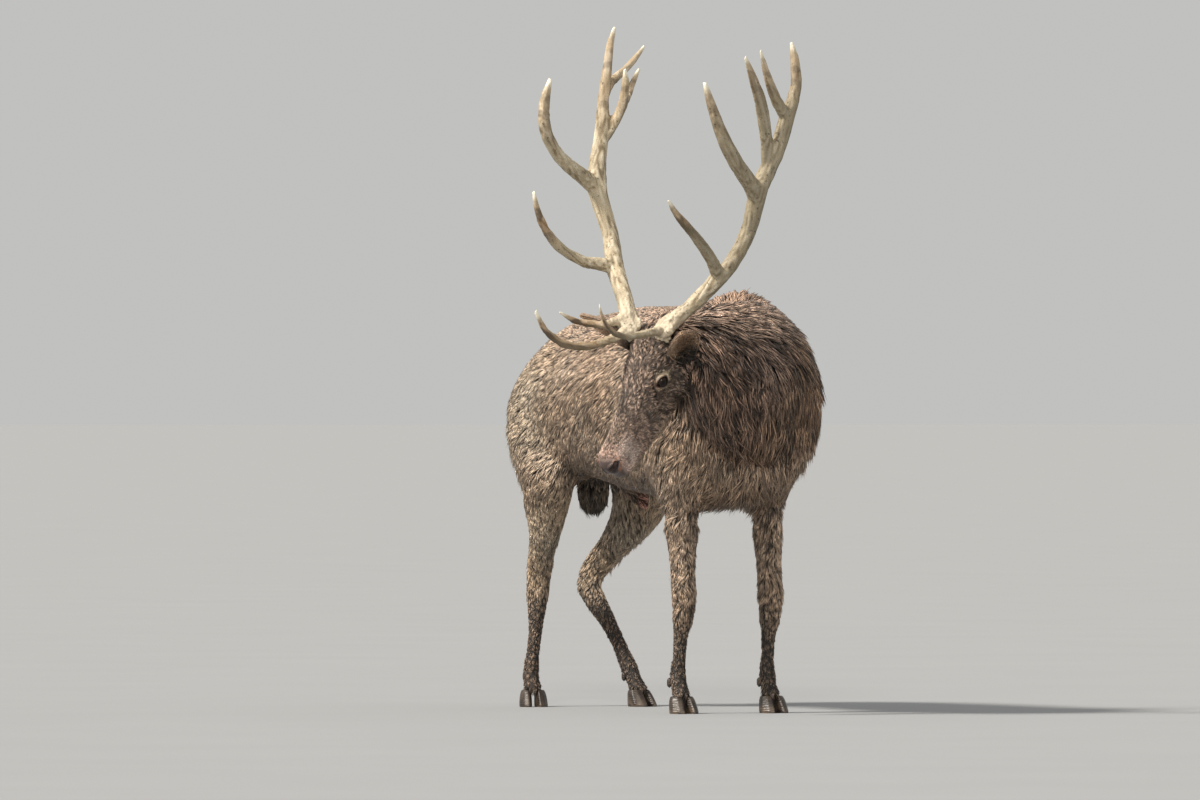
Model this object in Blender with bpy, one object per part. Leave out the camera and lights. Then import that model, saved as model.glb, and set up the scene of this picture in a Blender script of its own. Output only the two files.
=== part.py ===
"""A life-size red deer stag that stands with its head turned to its right and lowered.

While it is modelled, +X is forward along the trunk, +Y is the stag's left, +Z is up and the ground is Z = 0.
At the end everything is moved so that the origin is the middle of the base of the whole stag's box.
Every flesh part is a loft: rings, each with its own width, rise and drop, carried along a smooth path.
The lofts become one body by a voxel remesh, are smoothed and thinned out, and are then parted with thin cuts.
"""

import math

import bmesh
import bpy
import numpy as np
from mathutils import Matrix, Vector

# Driving dimensions, in metres.
SOLVER = "MANIFOLD"  # the closed meshes here are many and overlap themselves a little, which EXACT refuses
GAP = 0.0004  # width of the cuts that part the solids, and of the gaps between them
TOE_OUT = math.radians(18)  # the hind legs' planes turn outwards by this
HEAD_SCALE = 1.01
ANTLER_SPREAD = 0.98
LEFT_FORE_SWING = 0.030  # the left fore foot stands this much further forward than the right one
EYE_RADIUS = 0.0200
CLAW_LENGTH = 0.078
CLAW_WIDTH = 0.029
CLAW_HEIGHT = 0.050
CLAW_SIDES = 10
BODY_VOXEL = 0.0055
ANTLER_VOXEL = 0.0040
BODY_TRIANGLES = 2900
ANTLER_TRIANGLES = 720
SHARP = math.radians(50)  # edges sharper than this stay sharp
SLIVER = 12  # a cut can leave crumbs, with fewer vertices than this

UP = Vector((0, 0, 1))
FORWARD = Vector((1, 0, 0))

# The head's own frame: the origin is the poll, F runs to the nose, L to the left cheek and U out of the brow.
POLL = Vector((0.638, -0.325, 1.127))
HEAD_F = Vector((0.156, -0.470, -0.869)).normalized()
HEAD_U = Vector((0.382, -0.782, 0.492))
HEAD_L = HEAD_U.cross(HEAD_F).normalized()
HEAD_U = HEAD_F.cross(HEAD_L)
HEAD_AXES = Matrix((HEAD_F, HEAD_L, HEAD_U)).transposed()
HEAD_FRAME = Matrix.Translation(POLL) @ (HEAD_AXES * HEAD_SCALE).to_4x4()


# Each row is x, y, z, half width, rise and drop. A leg's rise points forward and its drop back.
TRUNK = (
    (-0.720, 0, 0.935, 0.060, 0.095, 0.110),
    (-0.680, 0, 0.925, 0.125, 0.150, 0.180),
    (-0.600, 0, 0.915, 0.185, 0.196, 0.220),
    (-0.470, 0, 0.910, 0.225, 0.244, 0.235),
    (-0.340, 0, 0.905, 0.238, 0.257, 0.235),
    (-0.100, 0, 0.900, 0.248, 0.283, 0.262),
    (0.070, 0, 0.900, 0.252, 0.283, 0.285),
    (0.260, 0, 0.895, 0.245, 0.293, 0.295),
    (0.400, 0, 0.885, 0.235, 0.313, 0.295),
    (0.510, 0, 0.880, 0.205, 0.270, 0.275),
    (0.580, 0, 0.880, 0.150, 0.180, 0.200),
)
NECK_BASE = (
    (0.280, 0.000, 0.930, 0.200, 0.250, 0.250),
    (0.400, 0.015, 0.925, 0.246, 0.294, 0.310),
    (0.500, 0.040, 0.925, 0.238, 0.303, 0.310),
    (0.580, 0.055, 0.930, 0.195, 0.255, 0.270),
    (0.640, 0.060, 0.930, 0.120, 0.160, 0.170),
)
NECK_BEND = (
    (0.470, 0.050, 0.980, 0.140, 0.150, 0.150),
    (0.560, 0.020, 1.000, 0.180, 0.195, 0.220),
    (0.635, -0.060, 1.035, 0.170, 0.170, 0.220),
    (0.660, -0.155, 1.065, 0.140, 0.130, 0.185),
    (0.658, -0.240, 1.085, 0.094, 0.090, 0.145),
    (0.648, -0.305, 1.090, 0.074, 0.060, 0.105),
)
SHOULDER = (
    (0.360, 0.090, 1.050, 0.060, 0.080, 0.080),
    (0.380, 0.145, 0.940, 0.085, 0.120, 0.115),
    (0.420, 0.158, 0.810, 0.085, 0.130, 0.135),
    (0.425, 0.150, 0.690, 0.070, 0.100, 0.115),
    (0.420, 0.140, 0.600, 0.050, 0.062, 0.066),
    (0.420, 0.138, 0.560, 0.042, 0.050, 0.055),
)
FORELEG = (
    (0.420, 0.138, 0.640, 0.046, 0.056, 0.060),
    (0.420, 0.137, 0.540, 0.046, 0.052, 0.056),
    (0.422, 0.136, 0.460, 0.038, 0.042, 0.043),
    (0.425, 0.135, 0.390, 0.034, 0.037, 0.035),
    (0.430, 0.135, 0.335, 0.036, 0.040, 0.034),
    (0.424, 0.135, 0.280, 0.028, 0.030, 0.029),
    (0.412, 0.136, 0.225, 0.018, 0.021, 0.022),
    (0.402, 0.136, 0.160, 0.016, 0.019, 0.020),
    (0.396, 0.137, 0.110, 0.021, 0.022, 0.027),
    (0.404, 0.137, 0.075, 0.021, 0.021, 0.022),
    (0.418, 0.137, 0.046, 0.029, 0.026, 0.027),
    (0.424, 0.137, 0.032, 0.030, 0.027, 0.028),
)
HAUNCH = (
    (-0.430, 0.085, 1.000, 0.060, 0.100, 0.120),
    (-0.455, 0.120, 0.920, 0.095, 0.160, 0.185),
    (-0.460, 0.136, 0.830, 0.100, 0.180, 0.190),
    (-0.445, 0.145, 0.730, 0.086, 0.155, 0.160),
    (-0.435, 0.148, 0.660, 0.070, 0.110, 0.115),
    (-0.440, 0.147, 0.620, 0.045, 0.070, 0.070),
)
HINDLEG_STRAIGHT = (
    (-0.435, 0.150, 0.720, 0.085, 0.150, 0.155),
    (-0.445, 0.148, 0.640, 0.075, 0.125, 0.125),
    (-0.475, 0.138, 0.550, 0.056, 0.090, 0.090),
    (-0.520, 0.125, 0.475, 0.040, 0.058, 0.064),
    (-0.565, 0.115, 0.405, 0.034, 0.044, 0.056),
    (-0.580, 0.112, 0.350, 0.031, 0.038, 0.050),
    (-0.580, 0.116, 0.295, 0.023, 0.030, 0.033),
    (-0.578, 0.122, 0.220, 0.017, 0.024, 0.022),
    (-0.576, 0.132, 0.155, 0.017, 0.022, 0.021),
    (-0.575, 0.137, 0.110, 0.021, 0.023, 0.028),
    (-0.565, 0.141, 0.075, 0.021, 0.021, 0.022),
    (-0.550, 0.145, 0.046, 0.029, 0.026, 0.027),
    (-0.544, 0.146, 0.032, 0.030, 0.027, 0.028),
)
HINDLEG_BENT = (
    (-0.420, 0.150, 0.720, 0.085, 0.150, 0.155),
    (-0.435, 0.152, 0.640, 0.075, 0.125, 0.120),
    (-0.475, 0.148, 0.560, 0.055, 0.088, 0.086),
    (-0.545, 0.125, 0.480, 0.040, 0.060, 0.062),
    (-0.618, 0.100, 0.410, 0.034, 0.044, 0.060),
    (-0.643, 0.090, 0.365, 0.031, 0.040, 0.052),
    (-0.618, 0.095, 0.310, 0.024, 0.033, 0.034),
    (-0.560, 0.112, 0.235, 0.017, 0.026, 0.022),
    (-0.510, 0.128, 0.160, 0.017, 0.023, 0.021),
    (-0.478, 0.138, 0.110, 0.021, 0.023, 0.028),
    (-0.463, 0.144, 0.075, 0.021, 0.021, 0.022),
    (-0.446, 0.150, 0.046, 0.029, 0.026, 0.027),
    (-0.440, 0.152, 0.032, 0.030, 0.027, 0.028),
)
TAIL = (
    (-0.640, 0, 1.045, 0.030, 0.026, 0.026),
    (-0.690, 0, 1.020, 0.032, 0.024, 0.026),
    (-0.722, 0, 0.970, 0.030, 0.020, 0.024),
    (-0.738, 0, 0.915, 0.024, 0.015, 0.018),
    (-0.742, 0, 0.870, 0.012, 0.008, 0.010),
)
SCROTUM = (
    (-0.440, 0, 0.720, 0.045, 0.050, 0.050),
    (-0.440, 0, 0.670, 0.052, 0.056, 0.054),
    (-0.440, 0, 0.610, 0.050, 0.052, 0.050),
    (-0.440, 0, 0.570, 0.028, 0.030, 0.030),
)
SHEATH = (
    (-0.220, 0, 0.650, 0.026, 0.030, 0.030),
    (-0.150, 0, 0.618, 0.026, 0.030, 0.026),
    (-0.100, 0, 0.594, 0.021, 0.023, 0.019),
    (-0.075, 0, 0.580, 0.010, 0.011, 0.009),
)

# The rows below are in the head's frame: F, L, U and the sizes.
SKULL = (
    (-0.055, 0, -0.065, 0.050, 0.040, 0.050),
    (-0.020, 0, -0.058, 0.068, 0.062, 0.065),
    (0.035, 0, -0.050, 0.076, 0.070, 0.070),
    (0.090, 0, -0.050, 0.074, 0.071, 0.065),
    (0.150, 0, -0.052, 0.070, 0.066, 0.060),
    (0.210, 0, -0.054, 0.057, 0.057, 0.052),
    (0.280, 0, -0.054, 0.045, 0.050, 0.046),
    (0.350, 0, -0.052, 0.040, 0.046, 0.040),
    (0.410, 0, -0.050, 0.043, 0.044, 0.038),
    (0.448, 0, -0.052, 0.040, 0.038, 0.034),
    (0.470, 0, -0.056, 0.027, 0.024, 0.022),
)
JAW = (
    (-0.010, 0, -0.115, 0.050, 0.040, 0.045),
    (0.045, 0, -0.125, 0.062, 0.050, 0.053),
    (0.110, 0, -0.125, 0.060, 0.050, 0.058),
    (0.180, 0, -0.120, 0.050, 0.045, 0.058),
    (0.260, 0, -0.111, 0.041, 0.036, 0.048),
    (0.340, 0, -0.105, 0.036, 0.032, 0.038),
    (0.400, 0, -0.101, 0.037, 0.030, 0.035),
    (0.435, 0, -0.096, 0.032, 0.024, 0.029),
    (0.452, 0, -0.094, 0.020, 0.013, 0.017),
)
EYE = Vector((0.168, 0.0615, -0.046))
# Each ear turns on its own: its root, the way it points and the way its opening faces.
LEFT_EAR = ((0.079, 0.105, -0.054), (-0.02, 0.45, 0.89), (0.85, 0.50, -0.18))
RIGHT_EAR = ((0.060, -0.080, -0.060), (-0.22, -0.65, 0.72), (0.97, -0.15, 0.10))
EAR_LENGTH = 0.190
EAR_HALF_WIDTHS = (0.022, 0.036, 0.047, 0.052, 0.050, 0.041, 0.027, 0.009)  # from the root to the tip
EAR_DEPTH = 0.034  # of the cup at the root
EAR_WALL = 0.0035
EAR_COLUMNS = 6

# Each antler is a set of tines. A row is F, L, U and radius; the first row of a tine lies inside what it
# grows from.
RIGHT_ANTLER = {
    "beam": (
        (0.055, 0.055, -0.005, 0.027),
        (0.038, 0.062, 0.022, 0.026),
        (-0.025, 0.100, 0.038, 0.024),
        (-0.075, 0.140, 0.042, 0.024),
        (-0.130, 0.185, 0.042, 0.026),
        (-0.185, 0.212, 0.056, 0.025),
        (-0.235, 0.235, 0.074, 0.024),
        (-0.286, 0.262, 0.106, 0.025),
        (-0.335, 0.285, 0.134, 0.028),
        (-0.405, 0.300, 0.158, 0.025),
        (-0.465, 0.310, 0.168, 0.023),
        (-0.520, 0.318, 0.182, 0.021),
        (-0.570, 0.325, 0.204, 0.018),
        (-0.617, 0.325, 0.222, 0.016),
        (-0.675, 0.325, 0.247, 0.0135),
        (-0.735, 0.325, 0.272, 0.011),
        (-0.780, 0.321, 0.284, 0.006),
    ),
    "brow": (
        (0.040, 0.062, 0.020, 0.014),
        (0.085, 0.068, 0.050, 0.014),
        (0.141, 0.085, 0.100, 0.0130),
        (0.182, 0.100, 0.155, 0.0125),
        (0.203, 0.110, 0.213, 0.0120),
        (0.205, 0.115, 0.290, 0.0100),
        (0.178, 0.117, 0.355, 0.0060),
    ),
    "bez": (
        (0.010, 0.080, 0.030, 0.014),
        (0.060, 0.115, 0.068, 0.0120),
        (0.080, 0.140, 0.102, 0.0110),
        (0.095, 0.160, 0.145, 0.0095),
        (0.101, 0.174, 0.205, 0.0055),
    ),
    "trez": (
        (-0.130, 0.185, 0.042, 0.022),
        (-0.125, 0.200, 0.076, 0.020),
        (-0.100, 0.220, 0.130, 0.0165),
        (-0.090, 0.235, 0.190, 0.0150),
        (-0.092, 0.245, 0.256, 0.0145),
        (-0.110, 0.250, 0.319, 0.0125),
        (-0.138, 0.251, 0.370, 0.0100),
        (-0.172, 0.252, 0.408, 0.0055),
    ),
    "surroyal": (
        (-0.335, 0.285, 0.134, 0.026),
        (-0.338, 0.298, 0.210, 0.0225),
        (-0.336, 0.305, 0.280, 0.0200),
        (-0.343, 0.305, 0.340, 0.0180),
        (-0.363, 0.300, 0.402, 0.0180),
        (-0.398, 0.295, 0.444, 0.0170),
        (-0.444, 0.290, 0.470, 0.0145),
        (-0.492, 0.285, 0.484, 0.0070),
    ),
    "crown_back": (
        (-0.590, 0.325, 0.212, 0.014),
        (-0.642, 0.330, 0.202, 0.0140),
        (-0.690, 0.341, 0.168, 0.0120),
        (-0.740, 0.350, 0.135, 0.0105),
        (-0.795, 0.358, 0.110, 0.0085),
        (-0.825, 0.360, 0.100, 0.0055),
    ),
    "crown_front": (
        (-0.450, 0.315, 0.166, 0.018),
        (-0.515, 0.300, 0.162, 0.0165),
        (-0.560, 0.283, 0.170, 0.0150),
        (-0.606, 0.270, 0.190, 0.0135),
        (-0.644, 0.262, 0.221, 0.0105),
        (-0.668, 0.260, 0.245, 0.0055),
    ),
    "crown_side": (
        (-0.580, 0.276, 0.176, 0.012),
        (-0.625, 0.282, 0.166, 0.0115),
        (-0.670, 0.290, 0.160, 0.0100),
        (-0.725, 0.299, 0.146, 0.0055),
    ),
}
LEFT_ANTLER = {
    "beam": (
        (0.055, 0.055, -0.010, 0.027),
        (0.034, 0.062, 0.018, 0.025),
        (-0.002, 0.085, 0.018, 0.023),
        (-0.040, 0.112, 0.012, 0.022),
        (-0.090, 0.155, 0.018, 0.0225),
        (-0.135, 0.190, 0.026, 0.024),
        (-0.182, 0.210, 0.024, 0.0225),
        (-0.240, 0.235, 0.036, 0.0225),
        (-0.292, 0.256, 0.060, 0.0235),
        (-0.335, 0.275, 0.092, 0.026),
        (-0.375, 0.290, 0.118, 0.026),
        (-0.420, 0.300, 0.126, 0.025),
        (-0.480, 0.310, 0.132, 0.024),
        (-0.535, 0.320, 0.146, 0.023),
        (-0.585, 0.330, 0.166, 0.022),
        (-0.630, 0.339, 0.178, 0.019),
        (-0.680, 0.340, 0.194, 0.0165),
        (-0.735, 0.335, 0.232, 0.0125),
        (-0.770, 0.329, 0.267, 0.006),
    ),
    "brow": (
        (0.036, 0.062, 0.018, 0.013),
        (0.063, 0.066, 0.050, 0.0130),
        (0.102, 0.080, 0.108, 0.0120),
        (0.135, 0.091, 0.154, 0.0110),
        (0.162, 0.100, 0.200, 0.0105),
        (0.180, 0.106, 0.245, 0.0095),
        (0.182, 0.111, 0.298, 0.0080),
        (0.170, 0.115, 0.338, 0.0065),
        (0.146, 0.117, 0.374, 0.0045),
    ),
    "trez": (
        (-0.135, 0.190, 0.028, 0.021),
        (-0.144, 0.201, 0.078, 0.0185),
        (-0.152, 0.212, 0.130, 0.0170),
        (-0.156, 0.225, 0.209, 0.0150),
        (-0.158, 0.235, 0.286, 0.0130),
        (-0.160, 0.242, 0.350, 0.0105),
        (-0.169, 0.249, 0.406, 0.0055),
    ),
    "surroyal": (
        (-0.352, 0.282, 0.098, 0.026),
        (-0.365, 0.290, 0.156, 0.0240),
        (-0.371, 0.295, 0.208, 0.0225),
        (-0.383, 0.300, 0.275, 0.0215),
        (-0.406, 0.300, 0.340, 0.0200),
        (-0.438, 0.295, 0.396, 0.0170),
        (-0.473, 0.290, 0.446, 0.0125),
        (-0.506, 0.285, 0.488, 0.0060),
    ),
    "crown_back": (
        (-0.580, 0.329, 0.164, 0.018),
        (-0.590, 0.330, 0.208, 0.0170),
        (-0.608, 0.330, 0.256, 0.0150),
        (-0.636, 0.330, 0.308, 0.0120),
        (-0.680, 0.330, 0.374, 0.0055),
    ),
    "crown_front": (
        (-0.430, 0.302, 0.128, 0.022),
        (-0.492, 0.308, 0.182, 0.0220),
        (-0.535, 0.310, 0.230, 0.0230),
        (-0.574, 0.310, 0.275, 0.0210),
        (-0.606, 0.310, 0.332, 0.0160),
        (-0.645, 0.310, 0.404, 0.0065),
    ),
}
# Where each antler is parted at its forks: F, L, U, the way across the cut, and its reach.
RIGHT_CUTS = (
    ((-0.165, 0.203, 0.050), (-0.89, 0.44, 0.23), 0.036),
    ((-0.116, 0.206, 0.098), (0.40, 0.32, 0.86), 0.032),
    ((0.098, 0.072, 0.062), (0.73, 0.22, 0.65), 0.026),
    ((0.050, 0.108, 0.060), (0.70, 0.49, 0.53), 0.024),
    ((-0.338, 0.298, 0.196), (0.00, 0.14, 0.99), 0.036),
    ((-0.382, 0.296, 0.150), (-0.93, 0.20, 0.31), 0.038),
    ((-0.560, 0.323, 0.200), (-0.91, 0.13, 0.39), 0.026),
    ((-0.665, 0.335, 0.188), (-0.82, 0.16, -0.54), 0.022),
    ((-0.568, 0.280, 0.173), (-0.89, -0.25, 0.39), 0.021),
    ((-0.640, 0.285, 0.164), (-0.98, 0.17, -0.13), 0.017),
)
RIGHT_SEEDS = {
    "lower": (-0.04, 0.12, 0.04),
    "brow": (0.17, 0.10, 0.20),
    "bez": (0.085, 0.15, 0.12),
    "trez": (-0.11, 0.235, 0.25),
    "middle": (-0.26, 0.25, 0.10),
    "surroyal": (-0.38, 0.30, 0.36),
    "upper": (-0.46, 0.31, 0.17),
    "crown_top": (-0.66, 0.323, 0.24),
    "crown_back": (-0.74, 0.35, 0.14),
    "crown_front": (-0.62, 0.268, 0.205),
    "crown_side": (-0.68, 0.292, 0.157),
}
LEFT_CUTS = (
    ((-0.168, 0.204, 0.025), (-0.93, 0.37, 0.00), 0.034),
    ((-0.147, 0.206, 0.100), (-0.16, 0.20, 0.96), 0.030),
    ((0.078, 0.071, 0.073), (0.55, 0.20, 0.81), 0.024),
    ((-0.364, 0.291, 0.168), (-0.12, 0.10, 0.99), 0.038),
    ((-0.410, 0.298, 0.124), (-0.97, 0.21, 0.17), 0.038),
    ((-0.500, 0.309, 0.192), (-0.70, 0.05, 0.70), 0.034),
    ((-0.596, 0.330, 0.222), (-0.25, 0.00, 0.97), 0.024),
    ((-0.628, 0.338, 0.178), (-0.96, 0.17, 0.22), 0.028),
)
LEFT_SEEDS = {
    "lower": (-0.05, 0.12, 0.015),
    "brow": (0.15, 0.10, 0.21),
    "trez": (-0.157, 0.23, 0.25),
    "middle": (-0.28, 0.25, 0.055),
    "surroyal": (-0.42, 0.295, 0.33),
    "upper": (-0.51, 0.31, 0.14),
    "crown_front": (-0.57, 0.31, 0.29),
    "crown_back": (-0.63, 0.33, 0.30),
    "crown_top": (-0.69, 0.337, 0.205),
}
FLAT_TINE = 0.55  # the left crown_front tine is this thick for its width


def material(name, colour, roughness):
    made = bpy.data.materials.new(name)
    made.use_nodes = True
    shader = made.node_tree.nodes["Principled BSDF"]
    shader.inputs["Base Color"].default_value = (*colour, 1)
    shader.inputs["Roughness"].default_value = roughness
    shader.inputs["Metallic"].default_value = 0.0
    return made


def smooth_path(rows, steps):
    """A Catmull-Rom curve through the rows, with the given number of steps between each two."""
    rows = np.asarray(rows, float)
    padded = np.vstack([2 * rows[0] - rows[1], rows, 2 * rows[-1] - rows[-2]])
    found = []
    for a, b, c, d in zip(padded[:-3], padded[1:-2], padded[2:-1], padded[3:]):
        for t in np.arange(steps) / steps:
            square = (2 * a - 5 * b + 4 * c - d) * t**2
            cube = (3 * b - a - 3 * c + d) * t**3
            found.append(0.5 * (2 * b + (c - a) * t + square + cube))
    found.append(rows[-1])
    return np.array(found)


def superpoint(angle, fullness):
    """A point of a superellipse of half axes 1: fullness 2 is round, more is squarer."""
    c = math.cos(angle)
    s = math.sin(angle)
    return math.copysign(abs(c) ** (2 / fullness), c), math.copysign(abs(s) ** (2 / fullness), s)


def loft(bm, rows, upright, sides=24, steps=6, fullness=(2.2, 2.2), place=None):
    """Adds a closed tube through the rows to bm. Its rises point along upright, as far as the path allows.

    fullness is that of the upper and of the lower half of its rings.
    """
    rows = smooth_path(rows, steps)
    tangents = np.gradient(rows[:, :3], axis=0)
    rings = []
    for row, tangent in zip(rows, tangents):
        along = Vector(tangent).normalized()
        across = upright.cross(along).normalized()
        rise_way = along.cross(across)
        ring = []
        for k in range(sides):
            c, s = superpoint(2 * math.pi * k / sides, fullness[0 if 2 * k < sides else 1])
            tall = s * (row[4] if s > 0 else row[5])
            point = Vector(row[:3]) + across * (c * row[3]) + rise_way * tall
            ring.append(bm.verts.new(place @ point if place else point))
        rings.append(ring)
    skin_rings(bm, rings)


def skin_rings(bm, rings):
    """Joins the rings with quads and caps both ends."""
    for first, second in zip(rings, rings[1:]):
        for k in range(len(first)):
            n = (k + 1) % len(first)
            bm.faces.new((first[k], first[n], second[n], second[k]))
    bm.faces.new(reversed(rings[0]))
    bm.faces.new(rings[-1])


def ball(bm, centre, radii, axes=None, segments=20):
    """Adds an ellipsoid whose axes are the columns of the given 3x3 matrix."""
    turn = (axes or Matrix.Identity(3)).to_4x4()
    matrix = Matrix.Translation(centre) @ turn @ Matrix.Diagonal((*radii, 1))
    bmesh.ops.create_uvsphere(bm, u_segments=segments, v_segments=segments // 2, radius=1, matrix=matrix)


def new_object(name, bm, finish=None):
    bmesh.ops.recalc_face_normals(bm, faces=bm.faces)
    if bm.calc_volume(signed=True) < 0:
        bmesh.ops.reverse_faces(bm, faces=bm.faces)
    mesh = bpy.data.meshes.new(name)
    bm.to_mesh(mesh)
    bm.free()
    made = bpy.data.objects.new(name, mesh)
    bpy.context.scene.collection.objects.link(made)
    if finish:
        mesh.materials.append(finish)
    return made


def modifier(obj, kind, **settings):
    made = obj.modifiers.new(kind.title(), kind)
    for key, value in settings.items():
        setattr(made, key, value)


def applied(obj):
    """Replaces the object's mesh by what its modifiers make of it."""
    graph = bpy.context.evaluated_depsgraph_get()
    mesh = bpy.data.meshes.new_from_object(obj.evaluated_get(graph))
    obj.modifiers.clear()
    obj.data = mesh


def linked(start):
    """All the vertices of the piece that the start vertex is in."""
    found = {start}
    waiting = [start]
    while waiting:
        for edge in waiting.pop().link_edges:
            for vertex in edge.verts:
                if vertex not in found:
                    found.add(vertex)
                    waiting.append(vertex)
    return found


def drop_bubbles(obj):
    """Keeps only the largest piece: a remesh can leave bubbles where tubes meet inside."""
    bm = bmesh.new()
    bm.from_mesh(obj.data)
    left = set(bm.verts)
    pieces = []
    while left:
        piece = linked(next(iter(left)))
        left -= piece
        pieces.append(piece)
    main_piece = max(pieces, key=len)
    bmesh.ops.delete(bm, geom=[vertex for vertex in bm.verts if vertex not in main_piece], context="VERTS")
    bm.to_mesh(obj.data)
    bm.free()


def remeshed(obj, voxel, smoothing, count, softness=None):
    """Fuses overlapping tubes into one closed surface of about count triangles.

    softness(point) from 0 to 1 says how much of the smoothing a point takes.
    """
    modifier(obj, "REMESH", mode="VOXEL", voxel_size=voxel)
    applied(obj)
    soft = obj.vertex_groups.new(name="soft")
    for vertex in obj.data.vertices:
        soft.add([vertex.index], softness(vertex.co) if softness else 1.0, "REPLACE")
    modifier(obj, "SMOOTH", factor=0.5, iterations=smoothing, vertex_group="soft")
    modifier(obj, "TRIANGULATE")
    applied(obj)
    modifier(obj, "DECIMATE", ratio=count / len(obj.data.polygons))
    applied(obj)
    obj.vertex_groups.clear()
    drop_bubbles(obj)


def boolean(obj, operation, other):
    modifier(obj, "BOOLEAN", operation=operation, solver=SOLVER, object=other)
    applied(obj)


def cut_back(obj, neighbour):
    """Takes the neighbour, with a gap round it, out of the object."""
    bm = bmesh.new()
    bm.from_mesh(neighbour.data)
    bm.normal_update()
    moves = [vertex.normal * GAP for vertex in bm.verts]
    for vertex, move in zip(bm.verts, moves):
        vertex.co += move
    cutter = new_object("cutter", bm)
    boolean(obj, "DIFFERENCE", cutter)
    bpy.data.objects.remove(cutter)


def cut_flat(obj, height):
    """Takes away everything of the object below a height."""
    bm = bmesh.new()
    low = Matrix.Translation((0, 0, height - 0.5))
    bmesh.ops.create_cube(bm, size=1, matrix=low @ Matrix.Diagonal((4, 4, 1, 1)))
    cutter = new_object("cutter", bm)
    boolean(obj, "DIFFERENCE", cutter)
    bpy.data.objects.remove(cutter)


def slab_cut(obj, centre, normal, half_across, half_up):
    """Parts a limb with a thin plate across it; the plate's second size points up where it can."""
    bm = bmesh.new()
    bmesh.ops.create_cube(bm, size=1)
    turn = Vector(normal).to_track_quat("Z", "Y").to_matrix().to_4x4()
    size = Matrix.Diagonal((2 * half_across, 2 * half_up, GAP, 1))
    bm.transform(Matrix.Translation(centre) @ turn @ size)
    cutter = new_object("cutter", bm)
    boolean(obj, "DIFFERENCE", cutter)
    bpy.data.objects.remove(cutter)


def parted(obj, seeds, finish):
    """Separates the loose pieces and names each after the seed that is nearest to its middle."""
    for other in bpy.context.selected_objects:
        other.select_set(False)
    obj.select_set(True)
    bpy.context.view_layer.objects.active = obj
    bpy.ops.object.mode_set(mode="EDIT")
    bpy.ops.mesh.select_all(action="SELECT")
    bpy.ops.mesh.separate(type="LOOSE")
    bpy.ops.object.mode_set(mode="OBJECT")
    made = {}
    for piece in list(bpy.context.selected_objects):
        vertices = piece.data.vertices
        middle = sum((v.co for v in vertices), Vector()) / len(vertices)
        name = min(seeds, key=lambda seed: (Vector(seeds[seed]) - middle).length)
        if len(vertices) < SLIVER:
            bpy.data.objects.remove(piece)
            continue
        if name in made:
            raise ValueError(f"two pieces are nearest to {name}: {tuple(middle)}")
        piece.name = name
        piece.data.name = name
        piece.data.materials.clear()
        piece.data.materials.append(finish)
        made[name] = piece
    return made


def mirrored(rows):
    return [(row[0], -row[1], *row[2:]) for row in rows]


def swung(rows, reach):
    """A leg's rows with the foot that far forward, and the top where it was."""
    top = rows[0][2]
    return [(row[0] + reach * (1 - row[2] / top), *row[1:]) for row in rows]


def in_head(f, l, u):
    return HEAD_FRAME @ Vector((f, l, u))


def leg_forward(sign):
    """The way that a hind leg's knee and toes point."""
    return Vector((math.cos(TOE_OUT), sign * math.sin(TOE_OUT), 0))


def flesh_lofts():
    bm = bmesh.new()
    loft(bm, TRUNK, UP, sides=48, fullness=(1.52, 2.25))
    loft(bm, NECK_BASE, UP, sides=48, fullness=(1.60, 2.2))
    loft(bm, NECK_BEND, UP, sides=48, fullness=(1.6, 2.2))
    for rows in (SHOULDER, HAUNCH):
        loft(bm, rows, FORWARD)
        loft(bm, mirrored(rows), FORWARD)
    loft(bm, swung(FORELEG, LEFT_FORE_SWING), FORWARD)
    loft(bm, mirrored(FORELEG), FORWARD)
    loft(bm, HINDLEG_BENT, leg_forward(1))
    loft(bm, mirrored(HINDLEG_STRAIGHT), leg_forward(-1))
    loft(bm, SKULL, UP, sides=36, fullness=(2.2, 2.3), place=HEAD_FRAME)
    loft(bm, JAW, UP, sides=36, fullness=(2.2, 2.3), place=HEAD_FRAME)
    for side in (1, -1):
        # the brow over each eye, the cheek muscle, the wing of the nostril and the pedicle under the antler
        ball(bm, in_head(0.155, side * 0.060, -0.022), (0.040, 0.020, 0.020), HEAD_AXES)
        ball(bm, in_head(0.165, side * 0.060, -0.046), (0.034, 0.021, 0.026), HEAD_AXES)
        ball(bm, in_head(0.090, side * 0.050, -0.120), (0.062, 0.026, 0.050), HEAD_AXES)
        ball(bm, in_head(0.435, side * 0.024, -0.040), (0.026, 0.018, 0.026), HEAD_AXES)
        ball(bm, in_head(0.045, side * 0.052, -0.005), (0.032, 0.030, 0.030), HEAD_AXES)
    return new_object("flesh", bm)


def flesh_softness(point):
    """The head and the lower legs keep their shapes, and the big masses flow into each other."""
    local = HEAD_FRAME.inverted() @ point
    head = -0.02 < local.x and abs(local.y) < 0.11 and -0.23 < local.z < 0.08
    foot = point.z < 0.42
    return 0.08 if head or foot else 1.0


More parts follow.
